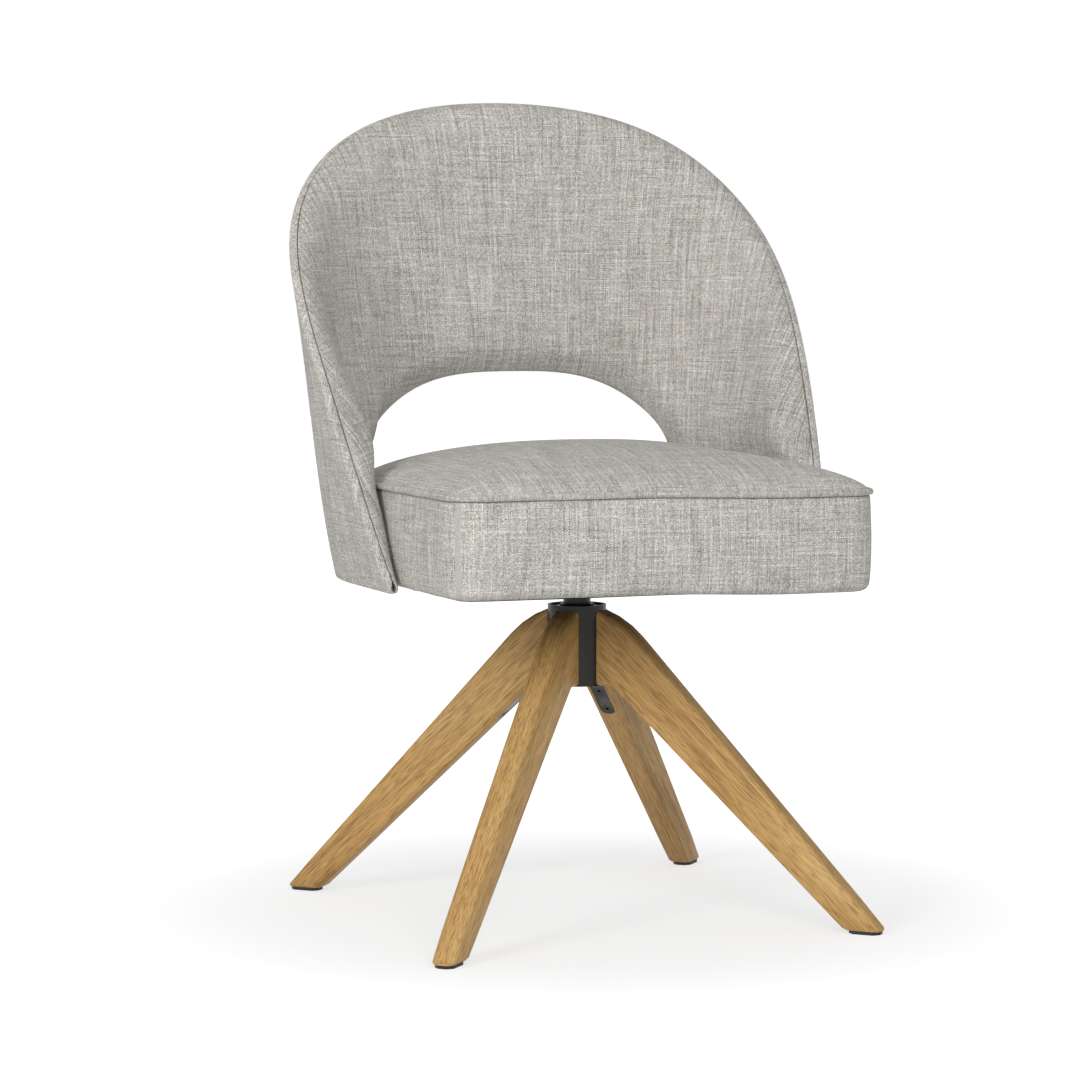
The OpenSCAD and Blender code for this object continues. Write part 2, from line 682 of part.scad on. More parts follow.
function wing_share(len) = pow(abs(len)/back_half_len, 2);
function swell_drop(len) = below_rim(len, mix(top_swell, wing_swell, wing_share(len)), 0.5);
function swell_rise(len) = above_edge(len, mix(edge_swell, wing_swell/2, wing_share(len)), 0.35);
function top_at(len, inset) = rim_z(len) - below_rim(len, inset, 0.3);
function low_at(len, inset) = edge_z(len) + above_edge(len, inset, 0.3);

// Depth of the front face and the heights at which it is drawn, from its lower seam to its upper one
function front_depth(len, z, inset) = let(
    up = min(1, max(0, (top_at(len, inset) - z)/swell_drop(len))),
    dn = min(1, max(0, (z - low_at(len, inset))/swell_rise(len))),
    fullness = sqrt(1 - pow(1 - up, 2))*mix(edge_t_share*sqrt(dn), 1, dn*dn*(3 - 2*dn)))
    seam_depth + soft_gap + (pad_t(z) - seam_depth - soft_gap - inset)*fullness;
function front_heights(len, inset) = let(
    top = top_at(len, inset), low = low_at(len, inset), sd = swell_drop(len), sr = swell_rise(len))
    concat([for (s = low_shares) low + sr*s], [mix(low + sr, top - sd, 0.5)],
        [for (s = top_shares) top - sd*s]);

// Heights of the rear face between its two rolls
function rear_heights(len) = [for (s = rear_shares)
    mix(edge_z(len) + above_edge(len, edge_roll, 0.3), rim_z(len) - below_rim(len, edge_roll, 0.3), s)];

// Rear cover: under the lower roll, up the outside and over the roll to the seam, then back inside it
function rear_section(len) = let(
    top = rim_z(len), low = edge_z(len), t = cloth_t, rear = rear_heights(len),
    rd = below_rim(len, edge_roll, 0.3), rr = above_edge(len, edge_roll, 0.3),
    td = min(below_rim(len, t, 1), rd*0.5), tr = min(above_edge(len, t, 1), rr*0.5))
    concat(
        [back_point(len, low, seam_depth), back_point(len, low + rr*0.3, seam_depth*0.3)],
        [for (z = rear) back_point(len, z, 0)],
        [back_point(len, top - rd*0.3, seam_depth*0.3), back_point(len, top, seam_depth)],
        [back_point(len, top - td, seam_depth),
            back_point(len, top - rd*0.3 - td*0.8, seam_depth*0.3 + t*0.8)],
        [for (k = [len(rear) - 1:-1:0]) back_point(len, rear[k], t)],
        [back_point(len, low + rr*0.3 + tr*0.8, seam_depth*0.3 + t*0.8),
            back_point(len, low + tr, seam_depth)]);

module back_cover_rear() {
    color(cloth) sheet([for (l = columns) rear_section(l)]);
}

frame_gap = 0.8;
foam_gap = 1;
thin_foam = cloth_t*0.4;
frame_depth = cloth_t + frame_gap;
foam_depth = frame_depth + ply_t + frame_gap;

module back_frame() {
    color(plywood) difference() {
        loft([for (l = inner_columns) let(h = rear_heights(l), n = len(h))
            concat([for (z = h) back_point(l, z, frame_depth)],
                [for (k = [n - 1:-1:0])
                    back_point(l, h[k], min(frame_depth + ply_t, face_depth(l, h[k])))])], across = true);
        at_wing_bolts() rotate([0, 90, 0]) {
            translate([0, 0, ply_inner_x - ply_t]) cylinder(r = spacer_r + seat_gap, h = ply_t + spot_in);
            cylinder(r = tee_barrel_r, h = flange_x + over);
            translate([0, 0, flange_x]) cylinder(r = tee_flange_r, h = ply_t);
        }
    }
}

// Foam fills the front cover and stops where the padding becomes too thin for it
function face_depth(len, z) =
    lookup(z, [for (h = front_heights(len, cloth_t)) [h, front_depth(len, h, cloth_t)]]) - foam_gap;
function foam_share(z) = min(0.98,
    (foam_depth + thin_foam + foam_gap - seam_depth)/(pad_t(z) - seam_depth - cloth_t - foam_gap));
foam_floor_z = lookup(foam_depth + 2*thin_foam + foam_gap + cloth_t,
    [for (k = [0:30]) let(z = wing_bottom_z + k*edge_roll) [half_width(z) - cushion_half - wing_gap, z]]);
function foam_heights(len) = let(
    inset = cloth_t + foam_gap, top = top_at(len, inset), low = low_at(len, inset),
    sd = swell_drop(len), sr = swell_rise(len),
    st = foam_share(top - sd/2), sb = foam_share(low + sr/2),
    t1 = top - sd*(1.02 - sqrt(1 - st*st)), t2 = min(top - sd, t1 - over),
    b1 = max(foam_floor_z, low + sr*mix(0.15, 1, sb)), b2 = max(low + sr, b1 + over))
    [b1, mix(b1, b2, 0.5), b2, mix(b2, t2, 0.5), t2, mix(t2, t1, 0.5), t1];
// The foam's outside has the frame's rows between its own lowest and highest one
function foam_rows(len, low, high) = let(h = rear_heights(len), n = len(h), step = thin_foam/4)
    concat([low], [for (k = [0:n - 1]) max(low + step*(k + 1), min(high - step*(n - k), h[k]))], [high]);

module back_foam() {
    color(foam) difference() {
        loft([for (l = inner_columns) let(h = foam_heights(l), n = len(h))
            concat([for (z = foam_rows(l, h[0], h[n - 1])) back_point(l, z, foam_depth)],
                [for (k = [n - 1:-1:0])
                    back_point(l, h[k], max(foam_depth + thin_foam/2, face_depth(l, h[k])))])],
            across = true);
        at_wing_bolts() rotate([0, 90, 0]) cylinder(r = spacer_r + soft_gap, h = back_w);
    }
}

module back_cover_front() {
    color(cloth) difference() {
        sheet([for (l = columns) let(a = front_heights(l, cloth_t), b = front_heights(l, 0), n = len(a))
            concat([for (z = a) back_point(l, z, front_depth(l, z, cloth_t))],
                [for (k = [n - 1:-1:0]) back_point(l, b[k], front_depth(l, b[k], 0))])]);
        at_wing_bolts() rotate([0, 90, 0]) cylinder(r = spacer_r + soft_gap, h = back_w/2 - back_t/2);
    }
}

// Bolts that hold the wings to the seat rails

spacer_r = 7;
wing_bolt_r = 3;
wing_head_r = 5.5;
wing_head_h = 3.3;
wing_bolt_z = board_top_z + rail_h*0.4;
wing_bolt_ys = [bend_y(wing_bolt_z) + spacer_r*8.5, bend_y(wing_bolt_z) + spacer_r*3];
ply_inner_x = half_width(wing_bolt_z) - frame_depth - ply_t;
spot_in = spacer_r*0.19;
flange_x = ply_inner_x + ply_t*0.63;

module at_wing_bolts() {
    for (side = [0, 1]) for (y = wing_bolt_ys)
        mirror([side, 0, 0]) translate([0, y, wing_bolt_z]) children();
}

module wing_spacers() {
    color(plastic_black) at_wing_bolts() translate([rail_out, 0, 0]) rotate([0, 90, 0]) difference() {
        cylinder(r = spacer_r, h = ply_inner_x + spot_in - rail_out);
        translate([0, 0, -over]) cylinder(r = wing_bolt_r, h = ply_inner_x + spot_in - rail_out + 2*over);
    }
}

module wing_bolts() {
    color(zinc) at_wing_bolts() translate([rail_x, 0, 0]) rotate([0, 90, 0]) {
        translate([0, 0, -wing_head_h]) cylinder(r = wing_head_r, h = wing_head_h);
        cylinder(r = wing_bolt_r, h = flange_x + tee_flange_t - rail_x);
    }
}

module wing_tee_nuts() {
    color(zinc) at_wing_bolts() rotate([0, 90, 0]) difference() {
        union() {
            translate([0, 0, ply_inner_x + spot_in])
                cylinder(r = tee_barrel_r, h = flange_x + tee_flange_t - ply_inner_x - spot_in);
            translate([0, 0, flange_x]) cylinder(r = tee_flange_r - over, h = tee_flange_t);
        }
        cylinder(r = wing_bolt_r, h = back_w);
    }
}

hub();
leg(0);  // leg_front_left
leg(1);  // leg_front_right
leg(2);  // leg_back_left
leg(3);  // leg_back_right
leg_screws();
leg_inserts();
glide(0);  // glide_front_left
glide(1);  // glide_front_right
glide(2);  // glide_back_left
glide(3);  // glide_back_right
upper_bush();
lower_bush();
thrust_washer();
spindle();
retaining_washer();
circlip();
seat_plate();
plate_screws();
plate_tee_nuts();
seat_board();
seat_rail(-1);  // seat_rail_left
seat_rail(1);  // seat_rail_right
seat_foam();
seat_cover();
seat_piping();
dust_cover();
back_frame();
back_foam();
back_cover_front();
back_cover_rear();
wing_spacers();
wing_bolts();
wing_tee_nuts();
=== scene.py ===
from functools import lru_cache
from math import acos, atan2, cos, hypot, pi, radians, sin, sqrt
import bmesh
import bpy
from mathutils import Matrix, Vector, noise


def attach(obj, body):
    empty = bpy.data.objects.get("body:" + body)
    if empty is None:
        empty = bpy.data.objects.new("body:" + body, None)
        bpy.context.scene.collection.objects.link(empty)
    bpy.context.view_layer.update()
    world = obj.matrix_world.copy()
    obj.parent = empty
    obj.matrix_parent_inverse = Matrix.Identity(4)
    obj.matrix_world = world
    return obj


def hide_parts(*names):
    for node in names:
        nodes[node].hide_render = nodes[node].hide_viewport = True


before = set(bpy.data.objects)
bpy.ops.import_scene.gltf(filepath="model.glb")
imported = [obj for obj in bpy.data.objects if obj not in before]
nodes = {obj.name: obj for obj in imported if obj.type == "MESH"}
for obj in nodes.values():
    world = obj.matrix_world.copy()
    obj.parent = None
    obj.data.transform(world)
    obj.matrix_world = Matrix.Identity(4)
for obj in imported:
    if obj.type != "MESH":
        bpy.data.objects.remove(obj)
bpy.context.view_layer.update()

scene = bpy.context.scene
scene.view_settings.view_transform = "Standard"
print("frame loaded with", len(nodes), "parts")

# Small helpers for numbers


def mix(a, b, share):
    return a + (b - a) * share


def smoothStep(low, high, value):
    share = min(1.0, max(0.0, (value - low) / (high - low)))
    return share * share * (3 - 2 * share)


def lookUp(value, table):
    # table holds (place, value) pairs in rising order
    if value <= table[0][0]:
        return table[0][1]
    for (x0, y0), (x1, y1) in zip(table, table[1:]):
        if value <= x1:
            return mix(y0, y1, (value - x0) / (x1 - x0))
    return table[-1][1]


def spreadShares(count, power=1.0):
    # Shares from 0 to 1, closer together near 0 with a higher power
    return [(k / count) ** power for k in range(count + 1)]


def bulgeOf(turn, power):
    # Reach of a rounded square with half sides of 1, towards a turn
    return (abs(sin(turn)) ** power + abs(cos(turn)) ** power) ** (-1 / power)


# Colours and material nodes


def hexColour(code):
    parts = [int(code[k:k + 2], 16) / 255 for k in (1, 3, 5)]
    return tuple(c / 12.92 if c <= 0.04045 else ((c + 0.055) / 1.055) ** 2.4 for c in parts) + (1.0,)


def addNode(tree, kind, settings=None, inputs=None):
    node = tree.nodes.new(kind)
    for name, value in (settings or {}).items():
        setattr(node, name, value)
    for socket, value in (inputs or {}).items():
        if isinstance(value, bpy.types.NodeSocket):
            tree.links.new(value, node.inputs[socket])
        else:
            node.inputs[socket].default_value = value
    return node


def setRamp(ramp, stops):
    stops = list(stops)
    elements = ramp.color_ramp.elements
    while len(elements) < len(stops):
        elements.new(0.5)
    for element, (place, colour) in zip(elements, stops):
        element.position = place
        element.color = hexColour(colour)
    return ramp


def newMaterial(name):
    material = bpy.data.materials.new(name)
    material.use_nodes = True
    tree = material.node_tree
    return material, tree, tree.nodes["Principled BSDF"]


def setShader(shader, values):
    for name, value in values.items():
        shader.inputs[name].default_value = value


# Linen melange cloth, plain woven from mixed pale and grey yarns: dull and grainy, with warm and cool flecks, and
# slubs where a yarn runs paler or darker for a few centimetres. Threads lie 1.2 mm apart, coarser than real ones,
# because finer threads would not show.
linenWeave = {
    "seed": 3.0,
    "thread": 0.0012,
    "slub": 0.08,
    "fibre": 0.00045,
    # dark is the darkest yarn tone, and also the colour of the painted shade in the gaps between crossings and in
    # the gathers' creases
    "dark": "#76726B",
    "low": "#ABA8A1",
    "high": "#C2BFB8",
    "light": "#EDEBE5",
    "warmFleck": "#A68468",
    "coolFleck": "#8C98A0",
    "weftShare": 0.75,
    "yarnShare": 0.44,
    "slubShare": 0.12,
    "darkSlubShare": 0.09,
    "speckle": 0.22,
    "fibreShare": 1.15,
    "fleckShare": 0.42,
    "threadPhase": 900.0,
    "paleSlubTones": (0.56, 0.72),
    "darkSlubTones": (0.42, 0.28),
    "toneStops": (-0.19, -0.05, 0.07, 0.27),
    "warmFrom": 0.45,
    "fleckFrom": 0.55,
    "relief": 0.0005,
    "reliefShare": 0.5,
    # gapShade is painted shade: how far the gaps between the crossings are darkened
    "gapShade": 0.25,
    "gapEdge": 0.5,
    "gatherSpacing": 0.0028,
    "gatherReach": 0.022,
    # gatherShade is painted shade: how far the gathers' creases are darkened
    "gatherShade": 0.42,
    "gatherDepth": 0.0005,
    "gatherTones": (0.5, 0.66),
    "gatherShare": 0.6,
    "finish": {"Roughness": 0.88, "Specular IOR Level": 0.2, "Sheen Weight": 0.1, "Sheen Roughness": 0.5},
}


def weaveTone(tree, place, look):
    # Tone of the thread that lies on top at each crossing
    cells = addNode(tree, "ShaderNodeVectorMath", {"operation": "SCALE"}, {0: place, "Scale": 1 / look["thread"]})
    whole = addNode(tree, "ShaderNodeVectorMath", {"operation": "FLOOR"}, {0: cells.outputs[0]})
    cell = addNode(tree, "ShaderNodeSeparateXYZ", None, {0: whole.outputs[0]})
    smooth = addNode(tree, "ShaderNodeSeparateXYZ", None, {0: cells.outputs[0]})
    yarns = []
    for side, run in ((0, 1), (1, 0)):
        # each thread has its own number, and its tone changes slowly along it
        along = addNode(tree, "ShaderNodeMath", {"operation": "MULTIPLY"},
                        {0: smooth.outputs[run], 1: look["thread"] / look["slub"]})
        number = addNode(tree, "ShaderNodeMath", {"operation": "ADD"},
                         {0: cell.outputs[side], 1: look["seed"] + side * 0.5})
        own = addNode(tree, "ShaderNodeTexWhiteNoise", {"noise_dimensions": "1D"}, {"W": number.outputs[0]})
        spot = addNode(tree, "ShaderNodeMath", {"operation": "MULTIPLY_ADD"},
                       {0: own.outputs["Value"], 1: look["threadPhase"], 2: along.outputs[0]})
        yarn = addNode(tree, "ShaderNodeTexNoise", {"noise_dimensions": "1D"},
                       {"W": spot.outputs[0], "Scale": 1.0, "Detail": 1.0, "Roughness": 0.6})
        yarns.append(yarn.outputs[0])
    sumOf = addNode(tree, "ShaderNodeMath", {"operation": "ADD"}, {0: cell.outputs[0], 1: cell.outputs[1]})
    odd = addNode(tree, "ShaderNodeMath", {"operation": "FLOORED_MODULO"}, {0: sumOf.outputs[0], 1: 2.0})
    half = 0.5 * look["weftShare"]
    weft = addNode(tree, "ShaderNodeMapRange", None,
                   {"Value": yarns[1], "To Min": 0.5 - half, "To Max": 0.5 + half})
    top = addNode(tree, "ShaderNodeMix", {"data_type": "FLOAT"},
                  {0: odd.outputs[0], 2: yarns[0], 3: weft.outputs[0]})
    both = []
    for tones, most in (("paleSlubTones", "slubShare"), ("darkSlubTones", "darkSlubShare")):
        low, high = look[tones]
        slub = addNode(tree, "ShaderNodeMapRange", {"interpolation_type": "SMOOTHSTEP"},
                       {"Value": top.outputs[0], "From Min": low, "From Max": high, "To Max": look[most]})
        both.append(slub.outputs[0])
    slubs = addNode(tree, "ShaderNodeMath", {"operation": "SUBTRACT"}, {0: both[0], 1: both[1]})
    random = addNode(tree, "ShaderNodeTexWhiteNoise", {"noise_dimensions": "2D"}, {"Vector": whole.outputs[0]})
    fibres = addNode(tree, "ShaderNodeTexNoise", {"noise_dimensions": "2D"},
                     {"Vector": cells.outputs[0], "Scale": look["thread"] / look["fibre"], "Detail": 1.0})
    first = addNode(tree, "ShaderNodeMath", {"operation": "MULTIPLY_ADD"},
                    {0: top.outputs[0], 1: look["yarnShare"], 2: slubs.outputs[0]})
    second = addNode(tree, "ShaderNodeMath", {"operation": "MULTIPLY_ADD"},
                     {0: fibres.outputs[0], 1: look["fibreShare"], 2: first.outputs[0]})
    tone = addNode(tree, "ShaderNodeMath", {"operation": "MULTIPLY_ADD"},
                   {0: random.outputs["Value"], 1: look["speckle"], 2: second.outputs[0]})
    return tone.outputs[0], cells.outputs[0], random.outputs["Color"]


def makeLinen(name, look, gathers=False):
    material, tree, shader = newMaterial(name)
    place = addNode(tree, "ShaderNodeAttribute", {"attribute_name": "weave"}).outputs["Vector"]
    tone, cells, random = weaveTone(tree, place, look)
    middle = 0.5 * (look["yarnShare"] + look["speckle"] + look["fibreShare"])
    tones = ("dark", "low", "high", "light")
    stops = [(middle + stop, look[name]) for stop, name in zip(look["toneStops"], tones)]
    yarn = setRamp(addNode(tree, "ShaderNodeValToRGB", None, {0: tone}), stops)
    hue = addNode(tree, "ShaderNodeSeparateXYZ", None, {0: random})
    warm = addNode(tree, "ShaderNodeMath", {"operation": "GREATER_THAN"},
                   {0: hue.outputs[1], 1: look["warmFrom"]})
    fleck = addNode(tree, "ShaderNodeMix", {"data_type": "RGBA"},
                    {0: warm.outputs[0], 6: hexColour(look["coolFleck"]), 7: hexColour(look["warmFleck"])})
    much = addNode(tree, "ShaderNodeMapRange", None,
                   {"Value": hue.outputs[2], "From Min": look["fleckFrom"], "To Max": look["fleckShare"]})
    mixed = addNode(tree, "ShaderNodeMix", {"data_type": "RGBA"},
                    {0: much.outputs[0], 6: yarn.outputs[0], 7: fleck.outputs[2]})
    # Each crossing is a small raised pad, and the gap round it is painted darker as shade between the threads
    parts = addNode(tree, "ShaderNodeSeparateXYZ", None, {0: cells})
    pads = []
    for k in (0, 1):
        turned = addNode(tree, "ShaderNodeMath", {"operation": "MULTIPLY"}, {0: parts.outputs[k], 1: pi})
        wave = addNode(tree, "ShaderNodeMath", {"operation": "SINE"}, {0: turned.outputs[0]})
        pads.append(addNode(tree, "ShaderNodeMath", {"operation": "ABSOLUTE"}, {0: wave.outputs[0]}).outputs[0])
    pad = addNode(tree, "ShaderNodeMath", {"operation": "MULTIPLY"}, {0: pads[0], 1: pads[1]})
    gap = addNode(tree, "ShaderNodeMapRange", None,
                  {"Value": pad.outputs[0], "From Max": look["gapEdge"], "To Min": look["gapShade"],
                   "To Max": 0.0})
    colour = addNode(tree, "ShaderNodeMix", {"data_type": "RGBA"},
                     {0: gap.outputs[0], 6: mixed.outputs[2], 7: hexColour(look["dark"])})
    bump = addNode(tree, "ShaderNodeBump", None,
                   {"Height": pad.outputs[0], "Strength": look["reliefShare"], "Distance": look["relief"]})
    if gathers:
        # Short gathers run along the upright threads and fade out of the seam; their creases are bumped in and
        # painted darker as shade
        seam = addNode(tree, "ShaderNodeSeparateXYZ", None, {0: place})
        fade = addNode(tree, "ShaderNodeMapRange", {"interpolation_type": "SMOOTHSTEP"},
                       {"Value": seam.outputs[2], "From Max": look["gatherReach"], "To Min": 1.0, "To Max": 0.0})
        spot = addNode(tree, "ShaderNodeMath", {"operation": "MULTIPLY"},
                       {0: seam.outputs[0], 1: 1 / look["gatherSpacing"]})
        gather = addNode(tree, "ShaderNodeTexNoise", {"noise_dimensions": "1D"},
                         {"W": spot.outputs[0], "Scale": 1.0, "Detail": 1.0})
        low, high = look["gatherTones"]
        crease = addNode(tree, "ShaderNodeMapRange", {"interpolation_type": "SMOOTHSTEP"},
                         {"Value": gather.outputs[0], "From Min": low, "From Max": high})
        strength = addNode(tree, "ShaderNodeMath", {"operation": "MULTIPLY"},
                           {0: crease.outputs[0], 1: fade.outputs[0]})
        # painted shade in the gathers' creases, mixed towards the dark yarn colour
        shade = addNode(tree, "ShaderNodeMath", {"operation": "MULTIPLY"},
                        {0: strength.outputs[0], 1: look["gatherShade"]})
        colour = addNode(tree, "ShaderNodeMix", {"data_type": "RGBA"},
                         {0: shade.outputs[0], 6: colour.outputs[2], 7: hexColour(look["dark"])})
        bump = addNode(tree, "ShaderNodeBump", {"invert": True},
                       {"Height": strength.outputs[0], "Strength": look["gatherShare"],
                        "Distance": look["gatherDepth"], "Normal": bump.outputs[0]})
    tree.links.new(colour.outputs[2], shader.inputs["Base Color"])
    tree.links.new(bump.outputs[0], shader.inputs["Normal"])
    setShader(shader, look["finish"])
    return material


seatLinen = makeLinen("linen melange, seat", linenWeave)
backLinen = makeLinen("linen melange, back", linenWeave, gathers=True)
print("cloth ready")

# Oiled oak: open-pored, satin, with long brown streaks of growth rings and short dark pores along the leg. The
# pores are drawn 0.6 mm wide, about twice the real width, because finer ones would not show.
oakBoard = {
    "light": "#D0AC72",
    "middle": "#BE965A",
    "dark": "#96703E",
    "pore": "#6E4E29",
    "ringWidth": 0.0017,
    "streakLength": 0.09,
    "ringRise": 0.45,
    "ringShare": 0.55,
    "broadShare": 0.45,
    "broadScale": (4, 34, 22),
    "toneStops": (0.33, 0.48, 0.66),
    "poreWidth": 0.0006,
    "poreLength": 0.013,
    "poreTones": (0.52, 0.62),
    "poreShade": 0.55,
    "relief": 0.0004,
    "finish": {"Roughness": 0.52, "Specular IOR Level": 0.35},
}


def makeOak(name, turn, slope, place, look):
    material, tree, shader = newMaterial(name)
    where = addNode(tree, "ShaderNodeTexCoord").outputs["Object"]
    turned = addNode(tree, "ShaderNodeMapping", None, {"Vector": where, "Rotation": (0, 0, -turn)})
    along = addNode(tree, "ShaderNodeMapping", None,
                    {"Vector": turned.outputs[0], "Rotation": (0, -slope, 0), "Location": place}).outputs[0]
    wide = look["ringWidth"]
    ringScale = addNode(tree, "ShaderNodeMapping", None,
                        {"Vector": along,
                         "Scale": (1 / look["streakLength"], 1 / wide, look["ringRise"] / wide)})
    rings = addNode(tree, "ShaderNodeTexNoise", None,
                    {"Vector": ringScale.outputs[0], "Scale": 0.8, "Detail": 4.0, "Roughness": 0.6,
                     "Distortion": 0.4})
    broadScale = addNode(tree, "ShaderNodeMapping", None, {"Vector": along, "Scale": look["broadScale"]})
    broad = addNode(tree, "ShaderNodeTexNoise", None,
                    {"Vector": broadScale.outputs[0], "Scale": 1.0, "Detail": 2.0})
    ringTone = addNode(tree, "ShaderNodeMath", {"operation": "MULTIPLY"},
                       {0: rings.outputs[0], 1: look["ringShare"]})
    tone = addNode(tree, "ShaderNodeMath", {"operation": "MULTIPLY_ADD"},
                   {0: broad.outputs[0], 1: look["broadShare"], 2: ringTone.outputs[0]})
    stops = [(stop, look[name]) for stop, name in zip(look["toneStops"], ("dark", "middle", "light"))]
    wood = setRamp(addNode(tree, "ShaderNodeValToRGB", None, {0: tone.outputs[0]}), stops)
    fine = 1 / look["poreWidth"]
    poreScale = addNode(tree, "ShaderNodeMapping", None,
                        {"Vector": along, "Scale": (1 / look["poreLength"], fine, fine)})
    pores = addNode(tree, "ShaderNodeTexNoise", None,
                    {"Vector": poreScale.outputs[0], "Scale": 0.7, "Detail": 1.0})
    low, high = look["poreTones"]
    poreMask = addNode(tree, "ShaderNodeMapRange", None,
                       {"Value": pores.outputs[0], "From Min": low, "From Max": high, "To Max": look["poreShade"]})
    colour = addNode(tree, "ShaderNodeMix", {"data_type": "RGBA"},
                     {0: poreMask.outputs[0], 6: wood.outputs[0], 7: hexColour(look["pore"])})
    tree.links.new(colour.outputs[2], shader.inputs["Base Color"])
    dip = addNode(tree, "ShaderNodeMath", {"operation": "MULTIPLY_ADD"},
                  {0: poreMask.outputs[0], 1: -1.0, 2: rings.outputs[0]})
    bump = addNode(tree, "ShaderNodeBump", None,
                   {"Height": dip.outputs[0], "Strength": 0.25, "Distance": look["relief"]})
    tree.links.new(bump.outputs[0], shader.inputs["Normal"])
    setShader(shader, look["finish"])
    return material


# Plain finishes: one grain of noise moves the colour and the surface a little
grainStops = (0.35, 0.65)
roughnessSpread = 0.08


def makeFinish(name, colours, grain, roughness, metallic=0.0, relief=0.0001, specular=0.5):
    material, tree, shader = newMaterial(name)
    where = addNode(tree, "ShaderNodeTexCoord").outputs["Object"]
    speckle = addNode(tree, "ShaderNodeTexNoise", None,
                      {"Vector": where, "Scale": 1 / grain, "Detail": 2.0, "Roughness": 0.6})
    colour = setRamp(addNode(tree, "ShaderNodeValToRGB", None, {0: speckle.outputs[0]}),
                     zip(grainStops, colours))
    tree.links.new(colour.outputs[0], shader.inputs["Base Color"])
    dull = addNode(tree, "ShaderNodeMapRange", None,
                   {"Value": speckle.outputs[0], "To Min": roughness - roughnessSpread,
                    "To Max": roughness + roughnessSpread})
    tree.links.new(dull.outputs[0], shader.inputs["Roughness"])
    bump = addNode(tree, "ShaderNodeBump", None,
                   {"Height": speckle.outputs[0], "Strength": 0.3, "Distance": relief})
    tree.links.new(bump.outputs[0], shader.inputs["Normal"])
    setShader(shader, {"Metallic": metallic, "Specular IOR Level": specular})
    return material


finishes = {
    # Black-brown powder coat, baked on: satin, with a fine orange-peel skin
    "powderCoat": makeFinish("satin powder coat, black-brown", ("#1F1D17", "#2A2820"), 0.0011, 0.3,
                             specular=0.3),
    # Ground steel, chemically blackened: smoother and deeper than the coat
    "blackenedSteel": makeFinish("blackened ground steel", ("#121210", "#1A1A18"), 0.0008, 0.25,
                                 specular=0.3),
    # Zinc plated and black passivated: dull, nearly black
    "blackZinc": makeFinish("black zinc plate", ("#1B1B1A", "#262624"), 0.0006, 0.42, 0.3),
    # Injection moulded polypropylene: even, slightly waxy black
    "blackPlastic": makeFinish("moulded polypropylene, black", ("#141413", "#1C1C1B"), 0.0009, 0.55),
    # Turned brass: warm yellow metal, lightly tarnished
    "brass": makeFinish("turned brass", ("#A8884C", "#BE9E5E"), 0.002, 0.35, 1.0),
    # Bright zinc plate: cool grey metal with small crystals
    "brightZinc": makeFinish("bright zinc plate", ("#9A9C9E", "#B4B6B8"), 0.0015, 0.33, 1.0),
    # Machined acetal: milky white, slightly waxy
    "acetal": makeFinish("machined acetal, natural", ("#E2E0D6", "#EDEBE2"), 0.003, 0.4),
    # Non-woven polypropylene lining: black felt, fully dull
    "blackFelt": makeFinish("non-woven lining, black", ("#1C1C1B", "#2A2A28"), 0.0012, 0.95, relief=0.0003,
                            specular=0.1),
    # Polyurethane foam: pale yellow, open cells
    "foam": makeFinish("polyurethane foam", ("#DCD0AF", "#EADFC0"), 0.0012, 0.95, relief=0.0004),
}


# Birch plywood: pale faces with a long fine grain, and edges banded by the turned plies
birchPly = {"faceColours": ("#CBAA79", "#DABB8C"), "plyColours": ("#C9A672", "#8F6C41"), "plyThickness": 0.0014,
            "grainScale": (260, 14, 90), "bandEdge": 0.2, "faceTilt": 0.5,
            "finish": {"Roughness": 0.6, "Specular IOR Level": 0.3}}


def makePlywood(name, look):
    material, tree, shader = newMaterial(name)
    where = addNode(tree, "ShaderNodeTexCoord").outputs["Object"]
    grainScale = addNode(tree, "ShaderNodeMapping", None, {"Vector": where, "Scale": look["grainScale"]})
    grain = addNode(tree, "ShaderNodeTexNoise", None,
                    {"Vector": grainScale.outputs[0], "Scale": 1.0, "Detail": 3.0})
    face = setRamp(addNode(tree, "ShaderNodeValToRGB", None, {0: grain.outputs[0]}),
                   zip(grainStops, look["faceColours"]))
    parts = addNode(tree, "ShaderNodeSeparateXYZ", None, {0: where})
    turned = addNode(tree, "ShaderNodeMath", {"operation": "MULTIPLY"},
                     {0: parts.outputs[2], 1: pi / look["plyThickness"]})
    band = addNode(tree, "ShaderNodeMath", {"operation": "SINE"}, {0: turned.outputs[0]})
    edgeMask = addNode(tree, "ShaderNodeMapRange", None,
                       {"Value": band.outputs[0], "From Min": -look["bandEdge"], "From Max": look["bandEdge"]})
    pale, brown = (hexColour(colour) for colour in look["plyColours"])
    edge = addNode(tree, "ShaderNodeMix", {"data_type": "RGBA"}, {0: edgeMask.outputs[0], 6: pale, 7: brown})
    normal = addNode(tree, "ShaderNodeSeparateXYZ", None,
                     {0: addNode(tree, "ShaderNodeNewGeometry").outputs["True Normal"]})
    upright = addNode(tree, "ShaderNodeMath", {"operation": "ABSOLUTE"}, {0: normal.outputs[2]})
    isFace = addNode(tree, "ShaderNodeMath", {"operation": "GREATER_THAN"},
                     {0: upright.outputs[0], 1: look["faceTilt"]})
    colour = addNode(tree, "ShaderNodeMix", {"data_type": "RGBA"},
                     {0: isFace.outputs[0], 6: edge.outputs[2], 7: face.outputs[0]})
    tree.links.new(colour.outputs[2], shader.inputs["Base Color"])
    setShader(shader, look["finish"])
    return material


finishes["plywood"] = makePlywood("birch plywood", birchPly)
print("finishes ready")


def dressNode(name, material):
    node = nodes[name]
    node.data.materials.clear()
    node.data.materials.append(material)


